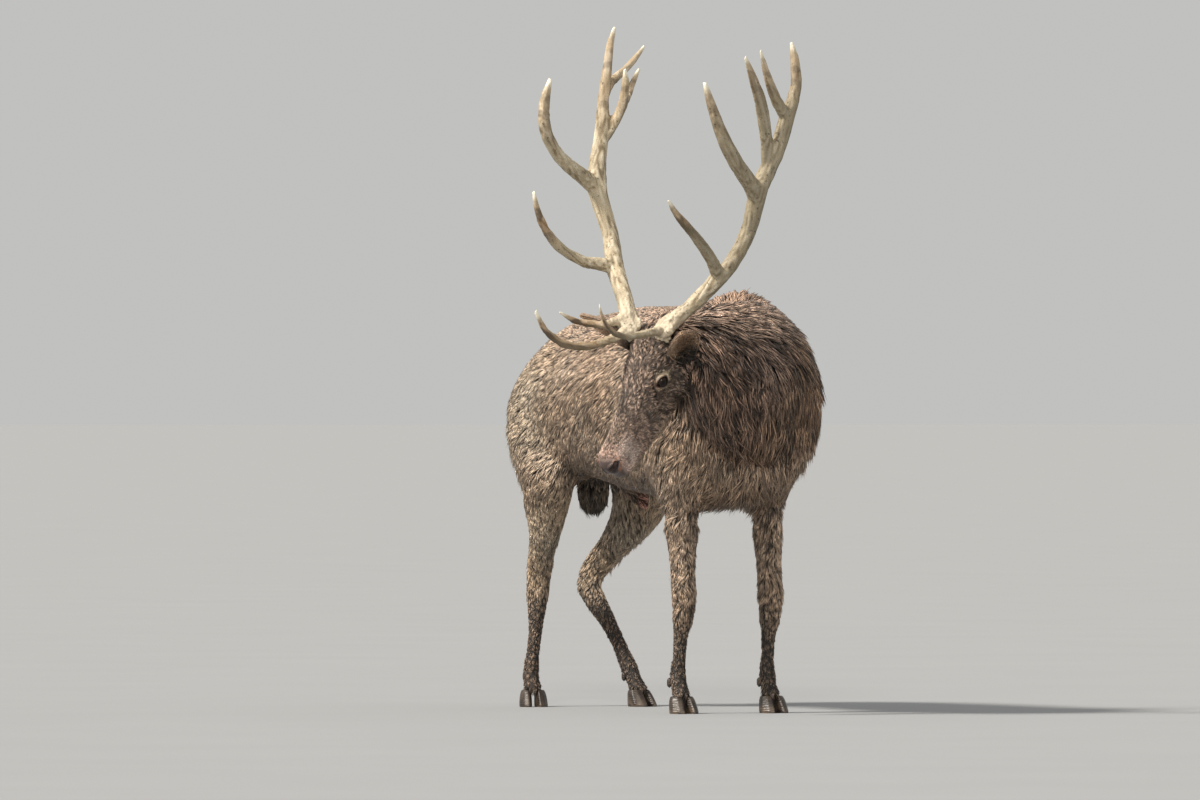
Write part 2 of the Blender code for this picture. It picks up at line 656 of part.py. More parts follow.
# In this order each part is cut from the one named after it, by a plate with this centre, normal, half
# width and
# half height. The cuts of the neck fan out from the fold at its right.
CUTS = (
    ("neck_upper", "trunk", (0.655, -0.075, 0.980), (0.580, -0.750, 0.30), 0.260, 0.330),
    ("head", "neck_upper", (0.640, -0.240, 1.060), (0.300, -0.890, -0.34), 0.400, 0.400),
    ("neck_lower", "trunk", (0.480, 0.050, 0.950), (0.860, 0.000, 0.50), 0.310, 0.480),
    ("foreleg_left_lower", "trunk", (0.440, 0.136, 0.292), (0, 0, 1), 0.070, 0.070),
    ("foreleg_right_lower", "trunk", (0.425, -0.136, 0.292), (0, 0, 1), 0.070, 0.070),
    ("foreleg_left_upper", "trunk", (0.425, 0.137, 0.560), (0, 0, 1), 0.090, 0.090),
    ("foreleg_right_upper", "trunk", (0.420, -0.137, 0.560), (0, 0, 1), 0.090, 0.090),
    ("hindleg_left_lower", "trunk", (-0.630, 0.095, 0.345), (0.45, 0.1, 1), 0.080, 0.080),
    ("hindleg_right_lower", "trunk", (-0.580, -0.113, 0.345), (0.1, 0, 1), 0.080, 0.080),
    ("hindleg_left_upper", "trunk", (-0.440, 0.150, 0.630), (-0.25, 0, 1), 0.130, 0.190),
    ("hindleg_right_upper", "trunk", (-0.440, -0.150, 0.630), (-0.25, 0, 1), 0.130, 0.190),
)
# The middle of each part, by which it is told from its neighbour.
MIDDLES = {
    "trunk": (0.00, 0.00, 0.85),
    "head": (0.69, -0.43, 0.92),
    "neck_upper": (0.65, -0.15, 1.03),
    "neck_lower": (0.58, 0.02, 0.98),
    "foreleg_left_lower": (0.43, 0.137, 0.18),
    "foreleg_right_lower": (0.42, -0.137, 0.18),
    "foreleg_left_upper": (0.43, 0.137, 0.43),
    "foreleg_right_upper": (0.42, -0.137, 0.43),
    "hindleg_left_lower": (-0.55, 0.12, 0.20),
    "hindleg_right_lower": (-0.57, -0.13, 0.20),
    "hindleg_left_upper": (-0.51, 0.13, 0.50),
    "hindleg_right_upper": (-0.50, -0.13, 0.50),
}


def build_flesh(coat):
    body = flesh_lofts()
    remeshed(body, BODY_VOXEL, 90, BODY_TRIANGLES, flesh_softness)
    made = {"trunk": body}
    for name, parent, centre, normal, half_across, half_up in CUTS:
        slab_cut(made[parent], Vector(centre), normal, half_across, half_up)
        made.update(parted(made[parent], {name: MIDDLES[name], parent: MIDDLES[parent]}, coat))
    return made


def hung_part(name, rows, upright, body, coat, sides=10):
    """A tail or other small part, lofted and cut back from the body it hangs from."""
    bm = bmesh.new()
    loft(bm, rows, upright, sides=sides, steps=2, fullness=(2.0, 2.0))
    made = new_object(name, bm, coat)
    cut_back(made, body)
    return made


def build_eye(name, side, skull, finish):
    bm = bmesh.new()
    centre = in_head(EYE.x, side * EYE.y, EYE.z)
    ball(bm, centre, (EYE_RADIUS,) * 3, HEAD_AXES, segments=14)
    made = new_object(name, bm, finish)
    cut_back(skull, made)
    return made


def build_ear(name, place, skull, coat):
    """A cup with a thin wall: rows run along the ear, and each row goes round its back from rim to rim."""
    root, axis, facing = (Vector(value) for value in place)
    axis.normalize()
    facing = (facing - axis * facing.dot(axis)).normalized()
    across = axis.cross(facing)
    bm = bmesh.new()
    rings = []
    for i, width in enumerate(EAR_HALF_WIDTHS):
        t = i / (len(EAR_HALF_WIDTHS) - 1)
        depth = EAR_DEPTH * (1 - 0.75 * t)  # the cup is flatter towards the tip, which leans forward a little
        middle = root + axis * (EAR_LENGTH * t) + facing * (0.012 * t * t + 0.6 * depth)
        ring = []
        for layer in (1, -1):
            for k in range(EAR_COLUMNS + 1):
                turn = math.pi * (k / EAR_COLUMNS - 0.5) * layer
                rim = across * (math.sin(turn) * (width + 0.5 * EAR_WALL * layer))
                back = facing * (math.cos(turn) * (depth + EAR_WALL * layer))
                ring.append(bm.verts.new(HEAD_FRAME @ (middle + rim - back)))
        rings.append(ring)
    skin_rings(bm, rings)
    made = new_object(name, bm, coat)
    cut_back(made, skull)
    return made


def tine_tube(bm, rows, side, flat=1.0, sides=12):
    rows = [(f, side * l * ANTLER_SPREAD, u, r, r * flat, r * flat) for f, l, u, r in rows]
    loft(bm, rows, Vector((0, 1, 0.2)), sides=sides, steps=3, fullness=(2.0, 2.0), place=HEAD_FRAME)


def build_antler(side_name, side, tines, cuts, seeds, skull, bone):
    bm = bmesh.new()
    for name, rows in tines.items():
        flat = FLAT_TINE if side == 1 and name == "crown_front" else 1.0
        tine_tube(bm, rows, side, flat)
    ball(bm, in_head(0.036, side * 0.062, 0.024), (0.034, 0.036, 0.016), HEAD_AXES)
    antler = new_object(f"antler_{side_name}", bm)
    remeshed(antler, ANTLER_VOXEL, 2, ANTLER_TRIANGLES)
    cut_back(antler, skull)
    for (f, l, u), normal, reach in cuts:
        way = HEAD_AXES @ Vector((normal[0], side * normal[1], normal[2]))
        slab_cut(antler, in_head(f, side * l * ANTLER_SPREAD, u), way, reach, reach)
    places = {f"antler_{side_name}_{key}": in_head(f, side * l, u) for key, (f, l, u) in seeds.items()}
    return parted(antler, places, bone)


def claw_ring(bm, place, height, length, width, shift, side):
    """A ring of a claw: pointed in front, round behind, and flat on the side that faces the other claw."""
    ring = []
    for k in range(CLAW_SIDES):
        angle = 2 * math.pi * k / CLAW_SIDES
        c = math.cos(angle)
        s = math.sin(angle)
        taper = 1 - 0.35 * max(c, 0) ** 2
        reach = width * (s * taper * (1.0 if s * side > 0 else 0.35))
        ring.append(bm.verts.new(place @ Vector((shift + length * 0.5 * c, reach, height))))
    return ring


def build_claw(name, foot, heading, side, horn):
    """One of the two claws of a foot. side is 1 for the claw on the stag's left."""
    turn = math.atan2(heading.y, heading.x) + side * math.radians(4)
    place = Matrix.Translation((foot[0], foot[1], 0)) @ Matrix.Rotation(turn, 4, "Z")
    place = place @ Matrix.Translation((0, side * 0.0135, 0))
    bm = bmesh.new()
    rings = []
    for height, length, width, shift in (
        (0.000, 1.00, 0.96, 0.012),
        (0.004, 1.03, 1.00, 0.012),
        (0.022, 0.90, 0.96, 0.006),
        (0.038, 0.76, 0.88, 0.000),
        (CLAW_HEIGHT, 0.58, 0.72, -0.004),
    ):
        rings.append(claw_ring(bm, place, height, CLAW_LENGTH * length, CLAW_WIDTH * width, shift, side))
    skin_rings(bm, rings)
    return new_object(name, bm, horn)


def build_dewclaw(name, foot, heading, side, leg, horn):
    across = UP.cross(heading)
    centre = Vector((foot[0], foot[1], 0.088)) - heading * 0.050 + across * (side * 0.017)
    bm = bmesh.new()
    ball(bm, centre, (0.012, 0.009, 0.017), segments=6)
    made = new_object(name, bm, horn)
    cut_back(made, leg)
    return made


# Where each foot stands, which way it points, and the name of its leg.
def feet():
    fore_right = FORELEG[-1]
    fore_left = swung(FORELEG, LEFT_FORE_SWING)[-1]
    return (
        ("foreleg_left", fore_left[:2], FORWARD),
        ("foreleg_right", (fore_right[0], -fore_right[1]), FORWARD),
        ("hindleg_left", HINDLEG_BENT[-1][:2], leg_forward(1)),
        ("hindleg_right", (HINDLEG_STRAIGHT[-1][0], -HINDLEG_STRAIGHT[-1][1]), leg_forward(-1)),
    )


def settle():
    """Shades everything smooth and moves it so that the origin is the middle of the base of the whole box."""
    solids = [obj for obj in bpy.context.scene.objects if obj.type == "MESH"]
    corners = np.array([vertex.co for solid in solids for vertex in solid.data.vertices])
    low = corners.min(axis=0)
    high = corners.max(axis=0)
    for solid in solids:
        solid.data.shade_smooth()
        solid.data.set_sharp_from_angle(angle=SHARP)
        solid.location = (-(low[0] + high[0]) / 2, -(low[1] + high[1]) / 2, -low[2])


def main():
    for obj in list(bpy.data.objects):
        bpy.data.objects.remove(obj)
    coat = material("coat", (0.16, 0.12, 0.085), 0.85)
    ear_coat = material("ear_coat", (0.20, 0.15, 0.11), 0.85)
    bone = material("antler", (0.55, 0.47, 0.37), 0.6)
    horn = material("hoof", (0.02, 0.016, 0.013), 0.45)
    glass = material("eye", (0.01, 0.007, 0.005), 0.08)

    flesh = build_flesh(coat)
    head = flesh["head"]
    trunk = flesh["trunk"]
    hung_part("tail", TAIL, Vector((-1, 0, 0.3)), trunk, coat)
    hung_part("scrotum", SCROTUM, FORWARD, trunk, coat)
    hung_part("sheath", SHEATH, UP, trunk, coat)

    for leg, foot, heading in feet():
        lower = flesh[f"{leg}_lower"]
        cut_flat(lower, CLAW_HEIGHT + GAP)
        for side, which in ((1, "left"), (-1, "right")):
            build_claw(f"{leg}_claw_{which}", foot, heading, side, horn)
            build_dewclaw(f"{leg}_dewclaw_{which}", foot, heading, side, lower, horn)

    antlers = (
        ("right", -1, RIGHT_ANTLER, RIGHT_CUTS, RIGHT_SEEDS, RIGHT_EAR),
        ("left", 1, LEFT_ANTLER, LEFT_CUTS, LEFT_SEEDS, LEFT_EAR),
    )
    for name, side, tines, cuts, seeds, ear_place in antlers:
        build_eye(f"eye_{name}", side, head, glass)
        pieces = build_antler(name, side, tines, cuts, seeds, head, bone)
        ear = build_ear(f"ear_{name}", ear_place, head, ear_coat)
        for piece in pieces.values():
            if piece.name.endswith(("_lower", "_bez")):
                cut_back(ear, piece)
        cut_back(ear, flesh["neck_upper"])
    settle()


main()
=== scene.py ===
import math

import bmesh
import bpy
import numpy as np
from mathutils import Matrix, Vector


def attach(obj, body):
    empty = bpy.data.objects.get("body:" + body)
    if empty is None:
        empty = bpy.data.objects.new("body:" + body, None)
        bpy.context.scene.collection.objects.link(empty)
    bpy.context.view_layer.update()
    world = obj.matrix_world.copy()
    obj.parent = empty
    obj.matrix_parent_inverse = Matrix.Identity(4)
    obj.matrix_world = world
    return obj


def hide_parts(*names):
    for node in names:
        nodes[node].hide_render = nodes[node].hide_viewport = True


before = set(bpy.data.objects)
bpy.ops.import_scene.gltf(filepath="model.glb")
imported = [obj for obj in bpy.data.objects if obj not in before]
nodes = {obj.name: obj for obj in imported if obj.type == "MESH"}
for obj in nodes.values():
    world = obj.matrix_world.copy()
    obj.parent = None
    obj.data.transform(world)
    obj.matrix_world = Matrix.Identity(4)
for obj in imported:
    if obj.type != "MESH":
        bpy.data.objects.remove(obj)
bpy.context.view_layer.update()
print("frame loaded:", len(nodes), "nodes")

# Where the body lies in the row's frame, x forward, y left, z up: the point under the trunk's middle.
bodyMiddle = np.array([-0.1287, 0.2351, 0.0])
# The head's own axes: f runs to the nose, l to the left cheek, u out of the brow, from the poll.
headSize = 1.01
poll = np.array([0.638, -0.325, 1.127]) + bodyMiddle
headF = np.array([0.156, -0.470, -0.869])
headF = headF / np.linalg.norm(headF)
headL = np.cross([0.382, -0.782, 0.492], headF)
headL = headL / np.linalg.norm(headL)
headU = np.cross(headF, headL)
headAxes = np.array([headF, headL, headU])


def toHead(points):  # row frame to f, l, u
    return (points - poll) @ headAxes.T / headSize


def fromHead(points):
    return poll + headSize * np.asarray(points, float) @ headAxes


def unit(vectors):
    return vectors / np.maximum(np.linalg.norm(vectors, axis=-1, keepdims=True), 1e-9)


def ramp(value, start, end):  # 0 before start, 1 after end, smooth between
    t = np.clip((value - start) / (end - start), 0, 1)
    return t * t * (3 - 2 * t)


def bell(value, middle, half):  # 1 at the middle, fading both ways
    return np.exp(-(((value - middle) / half) ** 2))


def mix(a, b, share):  # a where share is 0, b where it is 1, for numbers or for rows of three
    share = np.asarray(share, float)
    if share.ndim == 1 and (np.shape(a)[-1:] == (3,) or np.shape(b)[-1:] == (3,)):
        share = share[:, None]
    return np.asarray(a) + (np.asarray(b) - np.asarray(a)) * share


def ripple(points, size, seed):
    # smooth noise from about -1 to 1: the mean of seven sine waves of that wavelength in random directions
    rng = np.random.default_rng(seed)
    total = np.zeros(len(points))
    for _ in range(7):
        way = unit(rng.normal(size=3)) * 2 * np.pi / (size * rng.uniform(0.7, 1.4))
        total += np.sin(points @ way + rng.uniform(0, 2 * np.pi))
    return total / 3.2


def colourOf(hexCode):  # sRGB hex to linear
    srgb = np.array([int(hexCode[i : i + 2], 16) for i in (1, 3, 5)]) / 255
    return np.where(srgb <= 0.04045, srgb / 12.92, ((srgb + 0.055) / 1.055) ** 2.4)


def rgba(hexCode):
    return (*colourOf(hexCode), 1.0)


def painted(colour, *layers):  # each layer is a colour and how much of it covers what is under it
    for hexCode, share in layers:
        colour = mix(colour, colourOf(hexCode), share)
    return colour


# ---- mesh helpers
def meshFrom(name, points, faces):
    # faces is an array with three or four corners a row
    mesh = bpy.data.meshes.new(name)
    mesh.vertices.add(len(points))
    mesh.vertices.foreach_set("co", np.asarray(points, np.float32).ravel())
    mesh.loops.add(faces.size)
    mesh.loops.foreach_set("vertex_index", faces.astype(np.int32).ravel())
    mesh.polygons.add(len(faces))
    mesh.polygons.foreach_set("loop_start", np.arange(len(faces), dtype=np.int32) * faces.shape[1])
    mesh.update(calc_edges=True)
    mesh.shade_smooth()
    made = bpy.data.objects.new(name, mesh)
    bpy.context.scene.collection.objects.link(made)
    return made


def setValues(obj, name, values):  # one number a vertex, or a colour a vertex
    values = np.asarray(values, np.float32)
    isColour = values.ndim == 2
    layer = obj.data.attributes.new(name, "FLOAT_COLOR" if isColour else "FLOAT", "POINT")
    if isColour:
        values = np.concatenate([values, np.ones((len(values), 1), np.float32)], 1)
    layer.data.foreach_set("color" if isColour else "value", values.ravel())


def readAll(items, key, width, kind=np.float32):  # one property of every item
    values = np.empty(len(items) * width, kind)
    items.foreach_get(key, values)
    return values.reshape(-1, width)


def pointsOf(mesh):
    return readAll(mesh.vertices, "co", 3).astype(float)


def normalsOf(mesh):
    return readAll(mesh.vertex_normals, "vector", 3).astype(float)


def edgesOf(mesh):
    return readAll(mesh.edges, "vertices", 2, np.int32)


def trianglesOf(mesh):
    mesh.calc_loop_triangles()
    return readAll(mesh.loop_triangles, "vertices", 3, np.int32)


def movePoints(mesh, points):
    mesh.vertices.foreach_set("co", points.astype(np.float32).ravel())
    mesh.update()


def neighbourMean(values, edges):  # the mean of each vertex's neighbours, for one or several values a vertex
    size = len(values)
    a, b = edges.T
    count = np.bincount(a, minlength=size) + np.bincount(b, minlength=size)
    columns = values.reshape(size, -1).T
    sums = [np.bincount(a, column[b], size) + np.bincount(b, column[a], size) for column in columns]
    return (np.stack(sums, 1) / np.maximum(count, 1)[:, None]).reshape(values.shape)


def spread(values, edges, rounds):
    for _ in range(rounds):
        values = 0.4 * values + 0.6 * neighbourMean(values, edges)
    return values


def solidFrom(name, parts, voxel):
    # the named CAD solids, as one closed surface of even cells
    copies = []
    for part in parts:
        bm = bmesh.new()
        bm.from_mesh(nodes[part].data)
        bmesh.ops.remove_doubles(bm, verts=bm.verts, dist=1e-6)
        mesh = bpy.data.meshes.new(part)
        bm.to_mesh(mesh)
        bm.free()
        copies.append((pointsOf(mesh), trianglesOf(mesh)))
        bpy.data.meshes.remove(mesh)
    starts = np.cumsum([0] + [len(points) for points, _ in copies])
    points = np.vstack([points for points, _ in copies])
    faces = np.vstack([triangles + start for (_, triangles), start in zip(copies, starts)])
    made = meshFrom(name, points, faces)
    remesh = made.modifiers.new("Remesh", "REMESH")
    remesh.mode = "VOXEL"
    remesh.voxel_size = voxel
    graph = bpy.context.evaluated_depsgraph_get()
    mesh = bpy.data.meshes.new_from_object(made.evaluated_get(graph))
    made.modifiers.clear()
    made.data = mesh
    mesh.shade_smooth()
    middles = points[faces].mean(1)
    labels = np.repeat(np.arange(len(copies)), [len(points) for points, _ in copies])
    return made, np.vstack([points, middles]), np.concatenate([labels, labels[faces[:, 0]]])


def nearest(points, places, chunk=1500):  # the number of the nearest place to each point
    size = (places**2).sum(1)
    starts = range(0, len(points), chunk)
    return np.concatenate([np.argmin(size - 2 * points[i : i + chunk] @ places.T, axis=1) for i in starts])


def closedTube(name, loops, ends):
    # rows of points, each closed round, with a fan to a point at each end and its faces outward
    rows, columns = loops.shape[:2]
    points = np.vstack([loops.reshape(-1, 3), *ends])
    row, column = np.meshgrid(np.arange(rows - 1), np.arange(columns), indexing="ij")
    a, b = row * columns + column, row * columns + (column + 1) % columns
    quads = np.stack([a, b, b + columns, a + columns], -1).reshape(-1, 4)
    k = np.arange(columns)
    after = (k + 1) % columns
    last = (rows - 1) * columns
    near = np.stack([k * 0 + len(points) - 2, after, k], 1)
    far = np.stack([k * 0 + len(points) - 1, last + k, last + after], 1)
    faces = np.vstack([quads[:, [0, 1, 2]], quads[:, [0, 2, 3]], near, far])
    corners = points[faces]
    volume = np.einsum("ij,ij->i", corners[:, 0], np.cross(corners[:, 1], corners[:, 2])).sum()
    return meshFrom(name, points, faces if volume > 0 else faces[:, ::-1])


def settle(made, material, replaced=()):
    # a finished piece: its material, the body it rides on, the nodes it stands for and its slot
    made.data.materials.clear()
    made.data.materials.append(material)
    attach(made, "root")
    if len(replaced):
        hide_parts(*replaced)
    print("  ", made.name, len(trianglesOf(made.data)), "triangles")


# ---- materials
usedOutput = {"TexCoord": "Object", "SeparateXYZ": "Z", "TexVoronoi": "Distance", "Mix": 2}


def connect(tree, node, **links):
    # a link's name is its input, with _ for a space, or i and a number; its value is an output or a constant
    for key, value in links.items():
        socket = node.inputs[int(key[1:]) if key[1:].isdigit() else key.replace("_", " ")]
        if isinstance(value, bpy.types.NodeSocket):
            tree.links.new(value, socket)
        else:
            socket.default_value = value


def addNode(tree, kind, settings=None, **links):  # adds a node and gives the output that is used here
    node = tree.nodes.new("ShaderNode" + kind)
    for key, value in (settings or {}).items():
        setattr(node, key, value)
    connect(tree, node, **links)
    return node.outputs[usedOutput.get(kind, 0)]


def attribute(tree, name, output="Color"):
    node = tree.nodes.new("ShaderNodeAttribute")
    node.attribute_name = name
    return node.outputs[output]


def mathNode(tree, operation, *values):
    links = {f"i{k}": value for k, value in enumerate(values)}
    return addNode(tree, "Math", {"operation": operation}, **links)


def blended(tree, share, first, second):  # two colours, the second where the share is 1
    return addNode(tree, "Mix", {"data_type": "RGBA"}, i0=share, i6=first, i7=second)


def shaded(tree, colour, noise, low, high):  # the colour darker and lighter with the noise
    shade = addNode(tree, "MapRange", i0=noise, i1=0.3, i2=0.7, i3=low, i4=high)
    return addNode(tree, "VectorMath", {"operation": "SCALE"}, i0=colour, Scale=shade)


def newMaterial(name):  # with its tree, its shader and the place in the object's own coordinates
    made = bpy.data.materials.new(name)
    made.use_nodes = True
    tree = made.node_tree
    return made, tree, tree.nodes["Principled BSDF"], addNode(tree, "TexCoord")


coatFinish = {
    "speckSize": 0.004, "dark": 0.78, "light": 1.2,
    "roughness": 0.44, "strandDepth": 0.0006, "strands": 9.0, "ior": 1.55,
}


def makeCoatMaterial():
    # wet winter hair of a red deer: keratin fibres in clumps, so a soft gloss along them, with painted shade
    # between;
    # colour = furColour * noise, and the bump is sin(strands * across)
    made, tree, shader, place = newMaterial("wetDeerHair")
    specks = addNode(tree, "TexNoise", Vector=place, Scale=1 / coatFinish["speckSize"], Detail=2.0)
    colour = shaded(tree, attribute(tree, "furColour"), specks, coatFinish["dark"], coatFinish["light"])
    across = attribute(tree, "across", "Fac")
    wave = mathNode(tree, "SINE", mathNode(tree, "MULTIPLY", across, coatFinish["strands"]))
    bump = addNode(tree, "Bump", Height=wave, Distance=coatFinish["strandDepth"], Strength=0.5)
    connect(tree, shader, Base_Color=colour, Normal=bump)
    connect(tree, shader, Roughness=coatFinish["roughness"], IOR=coatFinish["ior"])
    return made


skinFinish = {
    "grain": 0.0035, "dark": 0.7, "light": 1.25, "cobble": 0.0024, "depth": 0.0012, "dry": 0.75, "wet": 0.34,
}


def makeSkinMaterial():
    # hide under wet underfur, dark with painted shade between the locks: matt, a fine nap, bare wet leather
    # on the nose;
    # colour = furColour * nap, roughness falls from dry to wet, and the bump is the nap less the wet cobbles
    made, tree, shader, place = newMaterial("deerHide")
    wet = attribute(tree, "wet", "Fac")
    nap = addNode(tree, "TexNoise", Vector=place, Scale=1 / skinFinish["grain"], Detail=4.0)
    colour = shaded(tree, attribute(tree, "furColour"), nap, skinFinish["dark"], skinFinish["light"])
    rough = addNode(tree, "MapRange", i0=wet, i3=skinFinish["dry"], i4=skinFinish["wet"])
    cells = addNode(tree, "TexVoronoi", Vector=place, Scale=1 / skinFinish["cobble"])
    height = mathNode(tree, "SUBTRACT", nap, mathNode(tree, "MULTIPLY", cells, wet))
    bump = addNode(tree, "Bump", Height=height, Distance=skinFinish["depth"], Strength=0.6)
    connect(tree, shader, Base_Color=colour, Roughness=rough, Normal=bump)
    return made


boneFinish = {
    "pore": 0.0028, "poreDepth": 0.0007, "dark": 0.8, "light": 1.12,
    "specks": 0.011, "mud": "#33291b", "matt": 0.62, "polished": 0.34,
}


def makeAntlerMaterial():
    # weathered antler bone: cream ridges, bark stain and mud in its grooves, and tips rubbed to ivory;
    # colour = boneColour * pores, under specks of mud that the polish keeps off
    made, tree, shader, place = newMaterial("antlerBone")
    polish = attribute(tree, "polish", "Fac")
    pores = addNode(tree, "TexNoise", Vector=place, Scale=1 / boneFinish["pore"], Detail=5.0)
    mud = addNode(tree, "TexNoise", Vector=place, Scale=1 / boneFinish["specks"], Detail=6.0, Roughness=0.62)
    speck = addNode(tree, "MapRange", i0=mud, i1=0.60, i2=0.68, i3=0.0, i4=0.8)
    held = addNode(tree, "Math", {"operation": "SUBTRACT", "use_clamp": True}, i0=speck, i1=polish)
    bone = shaded(tree, attribute(tree, "boneColour"), pores, boneFinish["dark"], boneFinish["light"])
    colour = blended(tree, held, bone, rgba(boneFinish["mud"]))
    rough = addNode(tree, "MapRange", i0=polish, i3=boneFinish["matt"], i4=boneFinish["polished"])
    bump = addNode(tree, "Bump", Height=pores, Distance=boneFinish["poreDepth"], Strength=0.7)
    connect(tree, shader, Base_Color=colour, Roughness=rough, Normal=bump)
    return made


hoofFinish = {"ringStep": 0.006, "ringDepth": 0.0007, "wander": 0.012, "horn": "#241c17", "scuff": "#6e5d4b"}


def makeHoofMaterial():
    # hoof horn: near-black keratin in growth rings, scuffed pale with dried mud towards the sole;
    # the rings are a sine of the height, which wanders with a noise
    made, tree, shader, place = newMaterial("hoofHorn")
    height = addNode(tree, "SeparateXYZ", Vector=place)
    wobble = addNode(tree, "TexNoise", Vector=place, Scale=45.0, Detail=3.0)
    lifted = mathNode(tree, "MULTIPLY_ADD", wobble, hoofFinish["wander"], height)
    rings = mathNode(tree, "SINE", mathNode(tree, "MULTIPLY", lifted, 2 * math.pi / hoofFinish["ringStep"]))
    low = addNode(tree, "MapRange", i0=lifted, i1=0.004, i2=0.03, i3=1.0, i4=0.25)
    patch = addNode(tree, "MapRange", i0=wobble, i1=0.4, i2=0.65, i3=0.0, i4=0.8)
    share = mathNode(tree, "MULTIPLY", low, patch)
    colour = blended(tree, share, rgba(hoofFinish["horn"]), rgba(hoofFinish["scuff"]))
    bump = addNode(tree, "Bump", Height=rings, Distance=hoofFinish["ringDepth"], Strength=0.4)
    connect(tree, shader, Base_Color=colour, Normal=bump, Roughness=0.42)
    return made


def makeEyeMaterial():
    # a deer's eye: dark brown iris and level black pupil under a clear wet cornea, so one sharp light in it;
    # colour = eyeColour * fine noise
    made, tree, shader, place = newMaterial("deerEye")
    rays = addNode(tree, "TexNoise", Vector=place, Scale=420.0, Detail=3.0)
    colour = shaded(tree, attribute(tree, "eyeColour"), rays, 0.7, 1.3)
    connect(tree, shader, Base_Color=colour, Roughness=0.06, Specular_IOR_Level=0.4, IOR=1.38)
    return made


coatMaterial = makeCoatMaterial()
skinMaterial = makeSkinMaterial()
antlerMaterial = makeAntlerMaterial()
hoofMaterial = makeHoofMaterial()
eyeMaterial = makeEyeMaterial()
print("materials made")

# ---- skin
kindOfName = {
    "head": "head", "neck_upper": "neckUpper", "neck_lower": "neckLower", "trunk": "trunk", "tail": "tail",
    "scrotum": "scrotum", "sheath": "sheath",
}
for kind in ("upper", "lower"):
    for leg in ("foreleg_left", "foreleg_right", "hindleg_left", "hindleg_right"):
        kindOfName[f"{leg}_{kind}"] = "leg" + kind.title()
fleshNames = list(kindOfName)
# Each kind of flesh: how deep its coat is, how long and wide a lock is, how far apart locks stand, in metres,
# its colour, how much of the smoothing it takes, and how far the hair's way wanders, in radians.
kindKeys = ("depth", "lock", "wide", "apart", "colour", "smooth", "wave")
fleshKinds = {
    "head": (0.0030, 0.020, 0.0031, 0.0036, "#857264", 0.22, 0.50),
    "neckUpper": (0.014, 0.068, 0.0056, 0.0060, "#5d4c41", 1.0, 0.20),
    "neckLower": (0.016, 0.078, 0.0062, 0.0066, "#614e3e", 1.0, 0.20),
    "trunk": (0.009, 0.050, 0.0047, 0.0055, "#b39d88", 1.0, 0.30),
    "tail": (0.004, 0.026, 0.0040, 0.0050, "#7b6248", 0.3, 0.2),
    "scrotum": (0.005, 0.034, 0.0044, 0.0048, "#2c261d", 0.3, 0.3),
    "sheath": (0.002, 0.014, 0.0034, 0.0050, "#5b4638", 0.3, 0.3),
    "legUpper": (0.005, 0.029, 0.0038, 0.0046, "#b09a85", 0.4, 0.38),
    "legLower": (0.0025, 0.012, 0.0026, 0.0041, "#67574a", 0.12, 0.25),
}
kindNames = list(fleshKinds)
skinSettings = {"voxel": 0.0085, "rounds": 60, "blendRounds": 14}

skin, cadPoints, cadLabels = solidFrom("skin", fleshNames + ["eye_left", "eye_right"], skinSettings["voxel"])
kindOfLabel = np.array([kindNames.index(kind) for kind in kindOfName.values()] + [0, 0])  # eyes with the head

# The head's own outline, seen from the side and from the front, at places from the poll to the nose.
headOutline = {
    "f": (-0.02, 0.035, 0.09, 0.15, 0.21, 0.28, 0.36, 0.47),
    "half": (0.070, 0.078, 0.076, 0.072, 0.059, 0.050, 0.048, 0.05),
    "top": (0.015, 0.021, 0.021, 0.014, 0.003, -0.004, -0.006, 0.0),
    "bottom": (-0.160, -0.178, -0.186, -0.184, -0.176, -0.166, -0.156, -0.140),
}


def kindShares(mesh, rounds):
    # how much each vertex belongs to each kind of flesh: the head's inside its outline, else the nearest
    # solid's, spread over the surface
    points = pointsOf(mesh)
    others = kindOfLabel[cadLabels] > 0
    label = kindOfLabel[cadLabels[others]][nearest(points, cadPoints[others])]
    f, l, u = toHead(points).T
    half, top, bottom = (
        np.interp(f, headOutline["f"], headOutline[key]) for key in ("half", "top", "bottom")
    )
    away = np.hypot(l / half, (u - (top + bottom) / 2) / ((top - bottom) / 2))
    inHead = ((1 - ramp(away, 1.08, 1.24)) * ramp(f, 0.0, 0.05))[:, None]
    shares = np.eye(len(kindNames))[label] * (1 - inHead) + np.eye(len(kindNames))[:1] * inHead
    return spread(shares, edgesOf(mesh), rounds)


def fromKinds(shares, key):
    values = [kind[kindKeys.index(key)] for kind in fleshKinds.values()]
    if key == "colour":
        values = [colourOf(value) for value in values]
    return shares @ np.array(values)


def smoothSkin(mesh, strength, rounds):
    # each round moves a vertex part of the way to its neighbours' mean
    points = pointsOf(mesh)
    edges = edgesOf(mesh)
    for _ in range(rounds):
        points += 0.6 * strength[:, None] * (neighbourMean(points, edges) - points)
    movePoints(mesh, points)


def refine(mesh, chosen):
    # splits every face whose corners are all chosen into four
    bm = bmesh.new()
    bm.from_mesh(mesh)
    edges = [edge for edge in bm.edges if chosen[edge.verts[0].index] and chosen[edge.verts[1].index]]
    bmesh.ops.subdivide_edges(bm, edges=edges, cuts=1, use_grid_fill=True)
    bm.to_mesh(mesh)
    bm.free()
    mesh.shade_smooth()


shares = kindShares(skin.data, 6)
smoothSkin(skin.data, fromKinds(shares, "smooth"), skinSettings["rounds"])
print("skin smoothed:", len(skin.data.vertices), "vertices")

